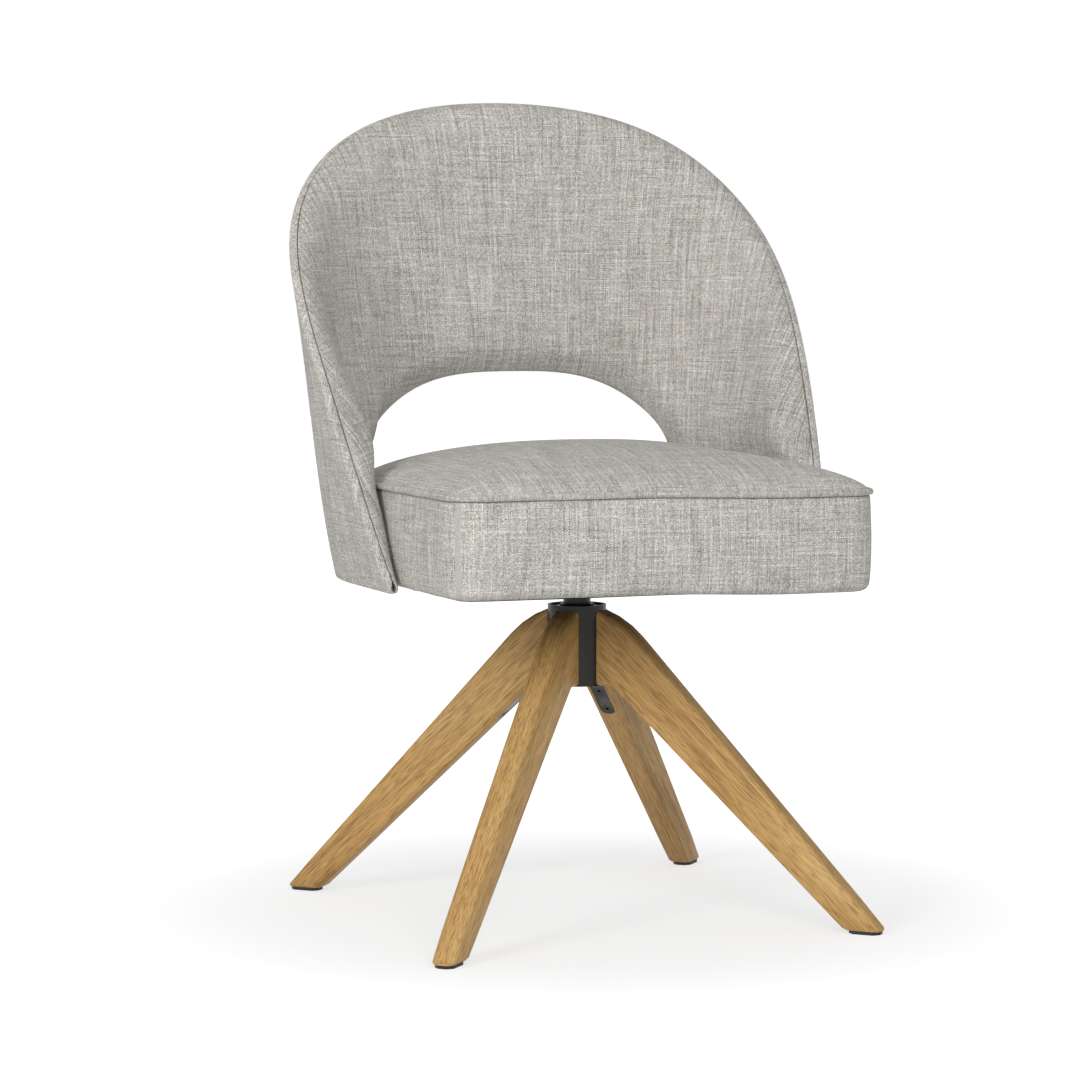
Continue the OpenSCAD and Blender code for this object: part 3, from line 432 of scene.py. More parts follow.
for name, finish in {
    "leg_screws": "blackZinc", "leg_inserts": "brass", "upper_bush": "acetal", "lower_bush": "acetal",
    "thrust_washer": "brightZinc", "retaining_washer": "brightZinc", "circlip": "brightZinc",
    "plate_screws": "brightZinc", "plate_tee_nuts": "brightZinc", "wing_spacers": "blackPlastic",
    "wing_bolts": "brightZinc", "wing_tee_nuts": "brightZinc", "seat_board": "plywood",
    "back_frame": "plywood", "seat_rail_left": "plywood", "seat_rail_right": "plywood",
    "glide_front_left": "blackPlastic", "glide_front_right": "blackPlastic",
    "glide_back_left": "blackPlastic", "glide_back_right": "blackPlastic",
    "seat_foam": "foam", "back_foam": "foam",
}.items():
    dressNode(name, finishes[finish])

# Making pieces
cornerJoin = {"nodeGap": 0.00001, "gridGap": 0.000002, "flatAngle": 0.5}


def addPiece(name, bm, material, body, slotName, replaced=(), smoothAngle=None, levels=0):
    mesh = bpy.data.meshes.new(name)
    bm.to_mesh(mesh)
    bm.free()
    mesh.shade_smooth()
    if smoothAngle:
        mesh.set_sharp_from_angle(angle=radians(smoothAngle))
    piece = bpy.data.objects.new(name, mesh)
    scene.collection.objects.link(piece)
    mesh.materials.append(material)
    if levels:
        smoother = piece.modifiers.new("subdivision", "SUBSURF")
        smoother.levels = levels
        smoother.render_levels = levels
    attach(piece, body)
    if replaced:
        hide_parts(*replaced)
    return piece


def smoothCopy(name, pieceName, material, body, slotName, smoothAngle):
    # The node's own shape with its corners joined, so that its curves shade smoothly
    bm = bmesh.new()
    bm.from_mesh(nodes[name].data)
    bmesh.ops.remove_doubles(bm, verts=bm.verts, dist=cornerJoin["nodeGap"])
    bmesh.ops.dissolve_limit(bm, angle_limit=radians(cornerJoin["flatAngle"]), verts=bm.verts, edges=bm.edges)
    return addPiece(pieceName, bm, material, body, slotName, (name,), smoothAngle)


def gridPiece(columns, rows, placeAt, weaveAt, closeEnds=True):
    # A grid whose point (column, row) goes to placeAt(column, row); the weave holds the place across and along the
    # upright threads, and the distance to the seam
    bm = bmesh.new()
    bmesh.ops.create_grid(bm, x_segments=columns, y_segments=rows, size=1.0)
    weaveLayer = bm.verts.layers.float_vector.new("weave")
    for vert in bm.verts:
        i = round((vert.co.x + 1) / 2 * columns)
        j = round((vert.co.y + 1) / 2 * rows)
        vert.co = placeAt(i, j)
        vert[weaveLayer] = weaveAt(i, j)
    bmesh.ops.remove_doubles(bm, verts=bm.verts, dist=cornerJoin["gridGap"])
    if closeEnds:
        bmesh.ops.holes_fill(bm, edges=[e for e in bm.edges if e.is_boundary], sides=0)
    bmesh.ops.recalc_face_normals(bm, faces=bm.faces)
    return bm


# Base: legs and hub, with the spindle and the seat plate

baseLook = {
    "legTurns": {"leg_front_left": -135, "leg_front_right": -45, "leg_back_left": 135, "leg_back_right": 45},
    "legSlope": 43.0, "legSmooth": 28, "metalSmooth": 32,
    "grainPlaces": {"leg_front_left": (0.1, 0.02, 0.3), "leg_front_right": (1.3, 0.4, 0.7),
                    "leg_back_left": (2.2, 0.9, 0.1), "leg_back_right": (3.7, 0.3, 1.9)},
}
for name, turn in baseLook["legTurns"].items():
    side = name.replace("leg_", "").replace("_", " ")
    oak = makeOak("oiled oak, " + side, radians(turn), radians(baseLook["legSlope"]),
                  baseLook["grainPlaces"][name], oakBoard)
    smoothCopy(name, name + "_oak", oak, "base", "oak", baseLook["legSmooth"])
for name, pieceName, finish, body, slotName in (
        ("hub", "hub_casting", "powderCoat", "base", "powder_coat"),
        ("spindle", "spindle_turned", "blackenedSteel", "seat", "spindle_black"),
        ("seat_plate", "seat_plate_pressed", "powderCoat", "seat", "powder_coat")):
    smoothCopy(name, pieceName, finishes[finish], body, slotName, baseLook["metalSmooth"])
print("base ready")

# Seat cushion

seatCushion = {
    "halfWidth": 0.2219, "front": 0.244, "rear": 0.129, "middleY": -0.005, "rearPower": 3.31,
    "cornerRadius": 0.031, "frontBow": 0.002,
    "bottom": 0.347, "seam": 0.444, "crown": 0.043, "crownPower": 2.2, "crownRound": 0.68,
    "lowerEdge": 0.0097, "sideBulge": 0.0016,
    "pipingRadius": 0.0034, "pipingSteps": (300, 12), "pipingWobble": 0.05, "wobbleStep": 0.35,
    "seamDroop": 0.0035, "hemDroop": 0.0045, "droopAcross": (-0.03, 0.14), "droopAlong": (-0.2, 0.12),
    "crownMiddle": 0.53, "tuckIn": 0.55, "tuckUp": 0.72,
    # in piping radii: in from the edge, and down from the seam
    "neck": ((1.1, 0), (0.75, 0.95), (0.3, 1.15), (0.05, 1.45)), "neckEnd": 2.1, "neckOut": 0.0001,
    # share of the side's height, and share of its bulge
    "sideShape": ((0.85, 0.35), (0.76, 0.6), (0.66, 0.82), (0.55, 1.0), (0.44, 1.0), (0.33, 0.9),
                  (0.23, 0.65), (0.15, 0.3), (0.1, 0.0)),
    # under the board: in from the edge, and up from the bottom
    "flapShape": ((0.025, 0.0), (0.025, 0.0016), (0.0075, 0.0016), (0.0042, 0.005)),
    "railTop": 0.3975, "ceilingShape": (0.0042, 0.03, 0.09),
    # where the droop stops: up from the bottom, in from the edge, and down from the seam
    "hiddenUp": 0.0015, "hiddenIn": 0.004, "hiddenDown": 0.01,
    "gridCount": 60, "ringSpread": 1.45, "surfaceSteps": 200, "sideWeave": 0.7, "join": 0.00002,
}
outlineSteps = {"front": 40, "corner": 16, "side": 30, "rear": 120}


def makeOutline(look):
    # Closed outline from above, anticlockwise, as (x, y) points with the four corners' places in it
    half, front, radius = look["halfWidth"], look["front"], look["cornerRadius"]
    depth = look["rear"] - look["middleY"]
    side, rear = outlineSteps["side"], outlineSteps["rear"]
    points, corners = [], []

    def addCorner(centreX, startAngle):
        steps = outlineSteps["corner"]
        for k in range(steps + 1):
            turn = radians(startAngle + 90 * k / steps)
            if k == steps // 2:
                corners.append(len(points))
            points.append((centreX + radius * cos(turn), radius - front + radius * sin(turn)))

    for k in range(1 - outlineSteps["front"], outlineSteps["front"]):
        share = k / outlineSteps["front"]
        points.append((share * (half - radius), -front - look["frontBow"] * (1 - share * share)))
    addCorner(half - radius, 270)
    for k in range(1, side):
        points.append((half, mix(radius - front, look["middleY"], k / side)))
    for k in range(rear + 1):
        turn = radians(90 - 180 * k / rear)
        bulge = bulgeOf(turn, look["rearPower"])
        if k in (rear // 4, rear * 3 // 4):
            corners.append(len(points))
        points.append((half * sin(turn) * bulge, look["middleY"] + depth * cos(turn) * bulge))
    for k in range(side - 1, 0, -1):
        points.append((-half, mix(radius - front, look["middleY"], k / side)))
    addCorner(radius - half, 180)
    return points, corners


outline, outlineCorners = makeOutline(seatCushion)
outlineRun = [0.0]
for k in range(len(outline)):
    a, b = outline[k], outline[(k + 1) % len(outline)]
    outlineRun.append(outlineRun[-1] + hypot(b[0] - a[0], b[1] - a[1]))
outlineLength = outlineRun[-1]


def outlineAt(run):
    # Point and outward normal at a distance round the outline
    run = run % outlineLength
    low, high = 0, len(outline)
    while high - low > 1:
        middle = (low + high) // 2
        if outlineRun[middle] <= run:
            low = middle
        else:
            high = middle
    a, b = outline[low], outline[(low + 1) % len(outline)]
    share = (run - outlineRun[low]) / max(1e-9, outlineRun[low + 1] - outlineRun[low])
    before, after = outline[low - 1], outline[(low + 2) % len(outline)]
    tangentA = Vector((b[0] - before[0], b[1] - before[1]))
    tangentB = Vector((after[0] - a[0], after[1] - a[1]))
    tangent = tangentA.normalized().lerp(tangentB.normalized(), share).normalized()
    return Vector((mix(a[0], b[0], share), mix(a[1], b[1], share))), Vector((tangent.y, -tangent.x))


# The four sides between the corners, from the front left one anticlockwise
cornerRuns = [outlineRun[outlineCorners[3]]] + [outlineRun[c] + outlineLength for c in outlineCorners[:3]]
cornerRuns.append(outlineRun[outlineCorners[3]] + outlineLength)
crownCentre = Vector((0, mix(-seatCushion["front"], seatCushion["rear"], seatCushion["crownMiddle"])))


def runOnSquare(x, y):
    # Distance round the outline for a direction in the unit square
    if -y >= abs(x):
        side, share = 0, (x / -y + 1) / 2
    elif x >= abs(y):
        side, share = 1, (y / x + 1) / 2
    elif y >= abs(x):
        side, share = 2, (1 - x / y) / 2
    else:
        side, share = 3, (1 - y / -x) / 2
    return mix(cornerRuns[side], cornerRuns[side + 1], share)


def droopAt(x, y, z, look):
    # The cushion hangs a little at its front right corner, most at its lower edge
    part = smoothStep(*look["droopAcross"], x) * (1 - smoothStep(*look["droopAlong"], y))
    low = min(1.0, max(0.0, (look["seam"] - z) / (look["seam"] - look["bottom"])))
    return part * mix(look["seamDroop"], look["hemDroop"], low)


def crownHeight(share, look):
    return look["crown"] * max(0.0, 1 - share ** look["crownPower"]) ** look["crownRound"]


def makeCushion(look):
    bm = bmesh.new()
    count = look["gridCount"]
    bmesh.ops.create_grid(bm, x_segments=count, y_segments=count, size=1.0)
    weaveLayer = bm.verts.layers.float_vector.new("weave")
    runLayer = bm.verts.layers.float.new("run")
    tuck = look["pipingRadius"]
    # Length along the crown's surface from its middle, so that the weave isn't stretched at the edge
    reach = look["halfWidth"]
    surfaceRun, place = [(0.0, 0.0)], 0.0
    for k in range(look["surfaceSteps"]):
        a, b = k / look["surfaceSteps"], (k + 1) / look["surfaceSteps"]
        place += hypot((b - a) * reach, crownHeight(b, look) - crownHeight(a, look))
        surfaceRun.append((b, place / reach))
    for vert in bm.verts:
        x, y = vert.co.x, vert.co.y
        ring = max(abs(x), abs(y))
        run = runOnSquare(x, y) if ring > 1e-6 else 0.0
        share = 1 - (1 - ring) ** look["ringSpread"]
        edge, normal = outlineAt(run)
        edge = edge - normal * tuck * look["tuckIn"]
        flat = crownCentre.lerp(edge, share)
        low = tuck * look["tuckUp"]
        lift = look["seam"] + low + (look["crown"] - low) * (crownHeight(share, look) / look["crown"])
        vert.co = (flat.x, flat.y, lift - droopAt(flat.x, flat.y, lift, look))
        stretched = (flat - crownCentre) * (lookUp(share, surfaceRun) / share if share > 1e-6 else 1)
        vert[weaveLayer] = (stretched.x, stretched.y, 1)
        vert[runLayer] = run
    # Side panels, lower edge, flap under the board and the hollow that holds the board and the rails
    boxing = look["seam"] - look["bottom"]
    rings = [(-tuck * inward, look["seam"] - tuck * down) for inward, down in look["neck"]]
    rings.append((look["neckOut"], look["seam"] - tuck * look["neckEnd"]))
    rings += [(look["sideBulge"] * bulge, look["bottom"] + boxing * share) for share, bulge in look["sideShape"]]
    for turn in (75, 60, 45, 30, 15, 0):
        rings.append((look["lowerEdge"] * (sin(radians(turn)) - 1),
                      look["bottom"] + look["lowerEdge"] * (1 - cos(radians(turn)))))
    rings += [(-inward, look["bottom"] + up) for inward, up in look["flapShape"]]
    rings += [(-inward, look["railTop"]) for inward in look["ceilingShape"]]
    height = 0.0
    last = None
    for out, z in rings:
        boundary = [e for e in bm.edges if e.is_boundary]
        grown = bmesh.ops.extrude_edge_only(bm, edges=boundary)["geom"]
        if last:
            height += hypot(out - last[0], z - last[1])
        last = (out, z)
        for vert in (g for g in grown if isinstance(g, bmesh.types.BMVert)):
            run = vert[runLayer]
            edge, normal = outlineAt(run)
            place = edge + normal * out
            above = z - look["bottom"] > look["hiddenUp"] and z < look["seam"] - look["hiddenDown"]
            hidden = above and out < -look["hiddenIn"]
            vert.co = (place.x, place.y, z - (0 if hidden else droopAt(place.x, place.y, z, look)))
            vert[weaveLayer] = (run, look["sideWeave"] - height, 1)
    # Ceiling of the hollow
    made = bmesh.ops.create_grid(bm, x_segments=count, y_segments=count, size=1.0)["verts"]
    for vert in made:
        x, y = vert.co.x, vert.co.y
        ring = max(abs(x), abs(y))
        edge, normal = outlineAt(runOnSquare(x, y) if ring > 1e-6 else 0.0)
        flat = crownCentre.lerp(edge + normal * rings[-1][0], ring)
        vert.co = (flat.x, flat.y, look["railTop"])
    bmesh.ops.remove_doubles(bm, verts=bm.verts, dist=look["join"])
    bmesh.ops.recalc_face_normals(bm, faces=bm.faces)
    return bm


cushion = addPiece("seat_cushion", makeCushion(seatCushion), seatLinen, "seat", "seat_cloth",
                   ("seat_cover", "seat_foam"), levels=1)
print("cushion ready")


def makePiping(look):
    # Cord covered in the seat's cloth, sewn in round the seam
    columns, rows = look["pipingSteps"]

    def placeAt(i, j):
        edge, normal = outlineAt(outlineLength * i / columns)
        turn = 2 * pi * j / rows
        wobble = 1 + look["pipingWobble"] * noise.noise(Vector((i * look["wobbleStep"], 2.0, 0.5)))
        out = normal * look["pipingRadius"] * wobble * cos(turn)
        z = look["seam"] + look["pipingRadius"] * wobble * sin(turn)
        return (edge.x + out.x, edge.y + out.y, z - droopAt(edge.x, edge.y, look["seam"], look))

    def weaveAt(i, j):
        run = outlineLength * i / columns
        return (run, 2 * pi * look["pipingRadius"] * j / rows, 1)

    return gridPiece(columns, rows, placeAt, weaveAt, closeEnds=False)


addPiece("seat_cushion_piping", makePiping(seatCushion), seatLinen, "seat", "seat_cloth", ("seat_piping",),
         levels=1)
print("piping ready")

# Backrest

backShell = {
    "halfWidth": 0.278, "widthShares": (0.852, 0.996, 0.954, 1.282), "bendPowers": (4.78, 2.25),
    "top": 0.835, "wingBottom": 0.343, "tipHeight": 0.007,
    "depthTop": 0.221, "depthBottom": 0.171, "bend": 0.250, "halfLength": 0.471,
    "rimShares": (0.578, 0.251, 0.171),
    "cutoutTop": 0.550, "cutoutHalf": 0.1895, "cutoutDrop": 0.090, "archShare": 0.83, "archPowers": (24, 3),
    # heights between which the wings' padding thickens, and between which it thins out again
    "padding": 0.028, "armPadding": 0.0155, "armRise": (0.44, 0.475), "armFall": (0.49, 0.62),
    "armFrom": (0.155, 0.195), "besideCushion": 0.2249, "overCushion": 0.009, "overCushionRise": (0.450, 0.500),
    "seamDepth": 0.0088, "seamLip": 0.0003, "edgeRoll": 0.0035, "stitchInset": 0.0052, "stitchDepth": 0.0008,
    "topSwell": 0.046, "wingSwell": 0.013, "edgeSwell": 0.030, "edgeFullness": 0.62,
    "cloth": 0.002, "foamBack": 0.0118,
    # gathers fade out towards the middle of the top
    "plainTop": 0.02, "plainTopRange": (0.03, 0.12),
}
backSteps = {
    "arc": 120, "reference": 0.52, "fromTop": (0.150, 0.178), "toWing": (0.208, 0.225), "tip": (0.41, 0.44),
    "wide": 0.0075, "fine": 0.0022, "tipWide": 0.0045,
    "frontEnds": 9, "frontMiddle": 26, "rearEnds": 4, "rearMiddle": 8, "rowPower": 1.8,
    "roll": 5, "outside": 24, "inside": 10, "turnOver": 8,
}


def riseShare(z):
    return (z - backShell["wingBottom"]) / (backShell["top"] - backShell["wingBottom"])


def backHalfWidth(z):
    s, c = riseShare(z), backShell["widthShares"]
    return backShell["halfWidth"] * (c[0] * (1 - s) ** 3 + 3 * c[1] * s * (1 - s) ** 2
                                     + 3 * c[2] * s * s * (1 - s) + c[3] * s ** 3)


def bendPower(z):
    return mix(*backShell["bendPowers"], riseShare(z))


# Distance round half the back against its turn, at one height for all
referenceZ = mix(backShell["wingBottom"], backShell["top"], backSteps["reference"])
arcTable, arcRun, arcLast = [], 0.0, None
for k in range(backSteps["arc"] + 1):
    turn = pi / 2 * k / backSteps["arc"]
    bulge = bulgeOf(turn, bendPower(referenceZ))
    point = (backHalfWidth(referenceZ) * sin(turn) * bulge, backShell["bend"] * cos(turn) * bulge)
    if arcLast:
        arcRun += hypot(point[0] - arcLast[0], point[1] - arcLast[1])
    arcLast = point
    arcTable.append((arcRun, turn))


def backPoint(length, z, depth):
    # Signed distance round the back, height, and depth in from its outside
    side = -1 if length < 0 else 1
    turn = lookUp(min(abs(length), arcRun), arcTable)
    arm = max(0.0, abs(length) - arcRun)
    power = bendPower(z)
    bulge = bulgeOf(turn, power)
    width, bend = backHalfWidth(z), backShell["bend"]
    nx = (sin(turn) * bulge) ** (power - 1) / width
    ny = (abs(cos(turn)) * bulge) ** (power - 1) / bend
    size = hypot(nx, ny)
    y = mix(backShell["depthBottom"], backShell["depthTop"], riseShare(z)) - bend
    return Vector((side * (width * sin(turn) * bulge - nx / size * depth),
                   y + bend * cos(turn) * bulge - ny / size * depth - arm, z))


rimDrop = backShell["top"] - backShell["wingBottom"] - backShell["tipHeight"]


def rimZ(length):
    u = abs(length) / backShell["halfLength"]
    return backShell["top"] - rimDrop * sum(c * u ** (k + 2) for k, c in enumerate(backShell["rimShares"]))


def rimSlope(length):
    u = abs(length) / backShell["halfLength"]
    return rimDrop / backShell["halfLength"] * sum(
        c * (k + 2) * u ** (k + 1) for k, c in enumerate(backShell["rimShares"]))


def edgeZ(length):
    u = abs(length) / backShell["cutoutHalf"]
    steep, even = backShell["archPowers"]
    drop = backShell["cutoutDrop"] * mix(u ** steep, u ** even, backShell["archShare"])
    return max(backShell["wingBottom"], backShell["cutoutTop"] - drop)


def edgeSlope(length):
    if edgeZ(length) <= backShell["wingBottom"]:
        return 0.0
    u = abs(length) / backShell["cutoutHalf"]
    steep, even = backShell["archPowers"]
    return backShell["cutoutDrop"] / backShell["cutoutHalf"] * mix(
        steep * u ** (steep - 1), even * u ** (even - 1), backShell["archShare"])


def belowRim(length, width, share):
    return min(width * sqrt(1 + rimSlope(length) ** 2), share * (rimZ(length) - edgeZ(length)))


def aboveEdge(length, width, share):
    return min(width * sqrt(1 + edgeSlope(length) ** 2), share * (rimZ(length) - edgeZ(length)))


def paddingAt(z):
    # The wings' padding is thickest just above the seat
    extra = backShell["armPadding"] * smoothStep(*backShell["armRise"], z) * (
        1 - smoothStep(*backShell["armFall"], z))
    # beside the cushion it leaves room, and just over the cushion's edge it bulges inwards
    bulge = backShell["overCushion"] * smoothStep(*backShell["overCushionRise"], z)
    room = backHalfWidth(z) - backShell["besideCushion"] + bulge
    return min(backShell["padding"] + extra, room)


def edgeSwells(length):
    wing = (abs(length) / backShell["halfLength"]) ** 2
    return (mix(backShell["topSwell"], backShell["wingSwell"], wing),
            mix(backShell["edgeSwell"], backShell["wingSwell"] / 2, wing))


def swells(length):
    # The two swells as heights in one upright section
    top, low = edgeSwells(length)
    return belowRim(length, top, 0.5), min(low, 0.35 * (rimZ(length) - edgeZ(length)))


# Columns lie closest where the lower edge falls from the cut-out to the wing
halfColumns = [0.0]
while halfColumns[-1] < backShell["halfLength"] - 0.0005:
    at = halfColumns[-1]
    steepHere = smoothStep(*backSteps["fromTop"], at) * (1 - smoothStep(*backSteps["toWing"], at))
    step = mix(backSteps["wide"], backSteps["fine"], steepHere)
    step = mix(step, backSteps["tipWide"], smoothStep(*backSteps["tip"], at))
    halfColumns.append(min(backShell["halfLength"], at + step))
backColumns = [-c for c in reversed(halfColumns[1:])] + halfColumns

# The two edges of one half as (across, z) places
rimPlaces = [(c, rimZ(c)) for c in halfColumns]
edgePlaces = [(c, edgeZ(c)) for c in halfColumns]


@lru_cache(maxsize=None)
def nearestOn(isRim, across, z):
    # Distance to an edge, and the direction out over it
    places = rimPlaces if isRim else edgePlaces
    best = min(range(len(places)), key=lambda k: (across - places[k][0]) ** 2 + (z - places[k][1]) ** 2)
    found = (9.0, 0.0, 0.0)
    for k in (max(0, best - 1), min(best, len(places) - 2)):
        (x0, z0), (x1, z1) = places[k], places[k + 1]
        dx, dz = x1 - x0, z1 - z0
        share = min(1.0, max(0.0, ((across - x0) * dx + (z - z0) * dz) / (dx * dx + dz * dz)))
        distance = hypot(across - x0 - dx * share, z - z0 - dz * share)
        size = hypot(dx, dz) * (1 if isRim else -1)
        found = min(found, (distance, -dz / size, dx / size))
    return found


def frontDepth(length, z, inset):
    above = max(0.0, nearestOn(True, abs(length), z)[0] - inset)
    below = max(0.0, nearestOn(False, abs(length), z)[0] - inset)
    room = 0.5 * (above + below) + 0.00001
    swellTop, swellLow = (min(swell, room) for swell in edgeSwells(length))
    up, down = min(1.0, above / swellTop), min(1.0, below / swellLow)
    full = sqrt(1 - (1 - up) ** 2) * mix(backShell["edgeFullness"] * sqrt(down), 1, down * down * (3 - 2 * down))
    start = backShell["seamDepth"] + backShell["seamLip"]
    armOnly = smoothStep(*backShell["armFrom"], abs(length))
    thick = mix(min(paddingAt(z), backShell["padding"]), paddingAt(z), armOnly)
    return start + (thick - start - inset) * full


def clothOver(distance, swell, height):
    # How much cloth the turn over an edge takes, beyond the flat distance, from the flat part to this distance
    turn = acos(min(1.0, max(0.0, 1 - distance / swell)))
    run, steps = 0.0, backSteps["turnOver"]
    for k in range(steps):
        at = mix(turn, pi / 2, (k + 0.5) / steps)
        run += hypot(swell * sin(at), height * cos(at)) * (pi / 2 - turn) / steps
    return run - swell * cos(turn)


def weaveOnBack(length, z, depth, isFront):
    # Threads stand upright and level; where the cloth turns over an edge it goes on square to that edge
    across, side = abs(length), -1 if length < 0 else 1
    above, outX, outZ = nearestOn(True, across, z)
    below, lowX, lowZ = nearestOn(False, across, z)
    swellTop, swellLow = edgeSwells(length)
    if isFront:
        height = paddingAt(z) - backShell["seamDepth"]
        over, under = clothOver(above, swellTop, height), clothOver(below, swellLow, height)
    else:
        over, under = (depth, 0.0) if above < below else (0.0, depth)
    plain = backShell["plainTop"] * (1 - smoothStep(*backShell["plainTopRange"], across))
    seam = above + plain if isFront else 1.0
    return (side * (across + outX * over + lowX * under), z + outZ * over + lowZ * under, seam)


def padRows(length, inset, ends, middle):
    top = rimZ(length) - belowRim(length, inset, 0.3)
    low = edgeZ(length) + aboveEdge(length, inset, 0.3)
    swellTop, swellLow = swells(length)
    shares = spreadShares(ends, backSteps["rowPower"])
    rows = [low + swellLow * s for s in shares]
    rows += [mix(low + swellLow, top - swellTop, k / middle) for k in range(1, middle)]
    return rows + [top - swellTop * s for s in reversed(shares)]


def sweepSections(sections, isFront):
    # One closed section of (z, depth) places for each column, joined round the back

    def placeAt(i, j):
        z, depth = sections[i][j]
        return backPoint(backColumns[i], z, depth)

    def weaveAt(i, j):
        z, depth = sections[i][j]
        return weaveOnBack(backColumns[i], z, depth, isFront)

    return gridPiece(len(backColumns) - 1, len(sections[0]) - 1, placeAt, weaveAt)


def makeBackPad():
    sections = []
    for length in backColumns:
        front = [(z, frontDepth(length, z, 0))
                 for z in padRows(length, 0, backSteps["frontEnds"], backSteps["frontMiddle"])]
        rear = [(z, min(backShell["foamBack"], frontDepth(length, z, backShell["cloth"])))
                for z in padRows(length, backShell["cloth"], backSteps["rearEnds"], backSteps["rearMiddle"])]
        sections.append(front + rear[::-1] + front[:1])
    return sweepSections(sections, True)


backPad = addPiece("back_pad", makeBackPad(), backLinen, "seat", "back_cloth",
                   ("back_cover_front", "back_foam"), levels=1)
print("back pad ready")


rearCoverShape = {
    # share of the stitches' inset, and share of their depth
    "stitchShape": ((1.15, 0.6), (1.0, 1.0), (0.85, 0.5)), "stitchStart": 1.35, "stitchFade": (0.02, 0.06),
    "lowBulge": 0.0003, "rimBulge": 0.0004, "endFrom": 0.004, "endTo": 0.001,
}


def makeRearCover(look):
    # The cover turns round the rim, with a stitched crease beside the turn, and ends at the seam on the front
    rollSteps, rearSteps = backSteps["roll"], backSteps["outside"]
    sections = []
    for length in backColumns:
        top, low = rimZ(length), edgeZ(length)
        depth, roll, thin = backShell["seamDepth"], backShell["edgeRoll"], backShell["cloth"]
        halfDepth = (depth + roll) / 2
        rollTop, rollLow = belowRim(length, roll, 0.2), aboveEdge(length, roll, 0.2)
        stitch = belowRim(length, backShell["stitchInset"], 0.3)
        groove = backShell["stitchDepth"] * smoothStep(*look["stitchFade"], top - low)
        turns = [pi / 2 * k / rollSteps for k in range(rollSteps + 1)]
        outside = [(low, depth), (low - look["lowBulge"], halfDepth)]
        outside += [(low + rollLow * (1 - cos(t)), roll * (1 - sin(t))) for t in turns]
        last = top - stitch * look["stitchStart"]
        outside += [(mix(low + rollLow, last, k / rearSteps), 0.0) for k in range(1, rearSteps + 1)]
        outside += [(top - stitch * out, groove * deep) for out, deep in look["stitchShape"]]
        outside += [(top - rollTop * (1 - sin(t)), roll * (1 - cos(t))) for t in turns]
        outside += [(top + look["rimBulge"], halfDepth), (top, depth)]
        end = smoothStep(backShell["halfLength"] - look["endFrom"], backShell["halfLength"] - look["endTo"],
                         abs(length))
        thinTop, thinLow = belowRim(length, thin, 0.25), aboveEdge(length, thin, 0.25)
        inside = [(top - thinTop, depth), (top - thinTop, halfDepth)]
        inside += [(mix(top - rollTop - thinTop, low + rollLow + thinLow, s), mix(thin, depth, end))
                   for s in spreadShares(backSteps["inside"])]
        inside += [(low + thinLow, halfDepth), (low + thinLow, depth)]
        sections.append(outside + inside + outside[:1])
    return sweepSections(sections, False)


rearCover = addPiece("back_rear_cover", makeRearCover(rearCoverShape), backLinen, "seat", "back_cloth",
                     ("back_cover_rear",), levels=1)
print("rear cover ready")

# Lining under the seat

seatLining = {"inset": 0.0126, "plateHalf": 0.082, "platePower": 9, "top": 0.3468, "sag": 0.0022,
              "sagReach": 0.03, "rippleShare": 0.4, "rippleScale": 25, "thickness": 0.0007, "count": 96,
              "rings": 9}


def makeLining(look):
    bm = bmesh.new()
    power, plateHalf = look["platePower"], look["plateHalf"]
    loops = []
    for inner in (False, True):
        made = bmesh.ops.create_circle(bm, cap_ends=False, segments=look["count"], radius=1.0)["verts"]
        for vert in made:
            turn = atan2(vert.co.y, vert.co.x)
            if inner:
                reach = bulgeOf(turn, power) * plateHalf
                vert.co = (cos(turn) * reach, sin(turn) * reach, look["top"])
            else:
                best = min(range(len(outline)), key=lambda k: abs(
                    (atan2(outline[k][1], outline[k][0]) - turn + pi) % (2 * pi) - pi))
                edge, normal = outlineAt(outlineRun[best])
                edge = edge - normal * look["inset"]
                vert.co = (edge.x, edge.y, look["top"])
        loops.append([e for e in bm.edges if e.verts[0] in made and e.verts[1] in made])
    bmesh.ops.bridge_loops(bm, edges=loops[0] + loops[1])
    spokes = [e for e in bm.edges if e not in loops[0] and e not in loops[1]]
    bmesh.ops.subdivide_edges(bm, edges=spokes, cuts=look["rings"], use_grid_fill=True)
    for vert in bm.verts:
        inner = (abs(vert.co.x) ** power + abs(vert.co.y) ** power) ** (1 / power) - plateHalf
        outer = min(hypot(vert.co.x - p[0], vert.co.y - p[1]) for p in outline[::4]) - look["inset"]
        sag = min(1.0, max(0.0, min(inner, outer) / look["sagReach"]))
        ripple = look["rippleShare"] * noise.noise(vert.co * look["rippleScale"])
        vert.co.z -= look["sag"] * sag * (1 + ripple)
    bmesh.ops.recalc_face_normals(bm, faces=bm.faces)
    bmesh.ops.solidify(bm, geom=bm.faces[:], thickness=look["thickness"])
    bmesh.ops.recalc_face_normals(bm, faces=bm.faces)
    return bm


lining = addPiece("seat_lining", makeLining(seatLining), finishes["blackFelt"], "seat", "lining_cloth",
                  ("dust_cover",))
print("lining ready")

# Floor, light and camera

studio = {
    "floorColour": "#E6E6E6", "floorSeen": "#A2A2A2", "floorHalf": 12.0,
    "floorGlow": 0.64, "farGlow": 1.0, "glowFrom": 0.25, "glowTo": 0.85, "worldStrength": 0.52,
    "cameraTurn": 22.2, "cameraDistance": 3.489, "cameraHeight": 0.652, "cameraPitch": 4.42, "cameraYaw": -0.62,
    "lens": 114.23, "sensor": 36.0, "clipEnd": 60.0,
}


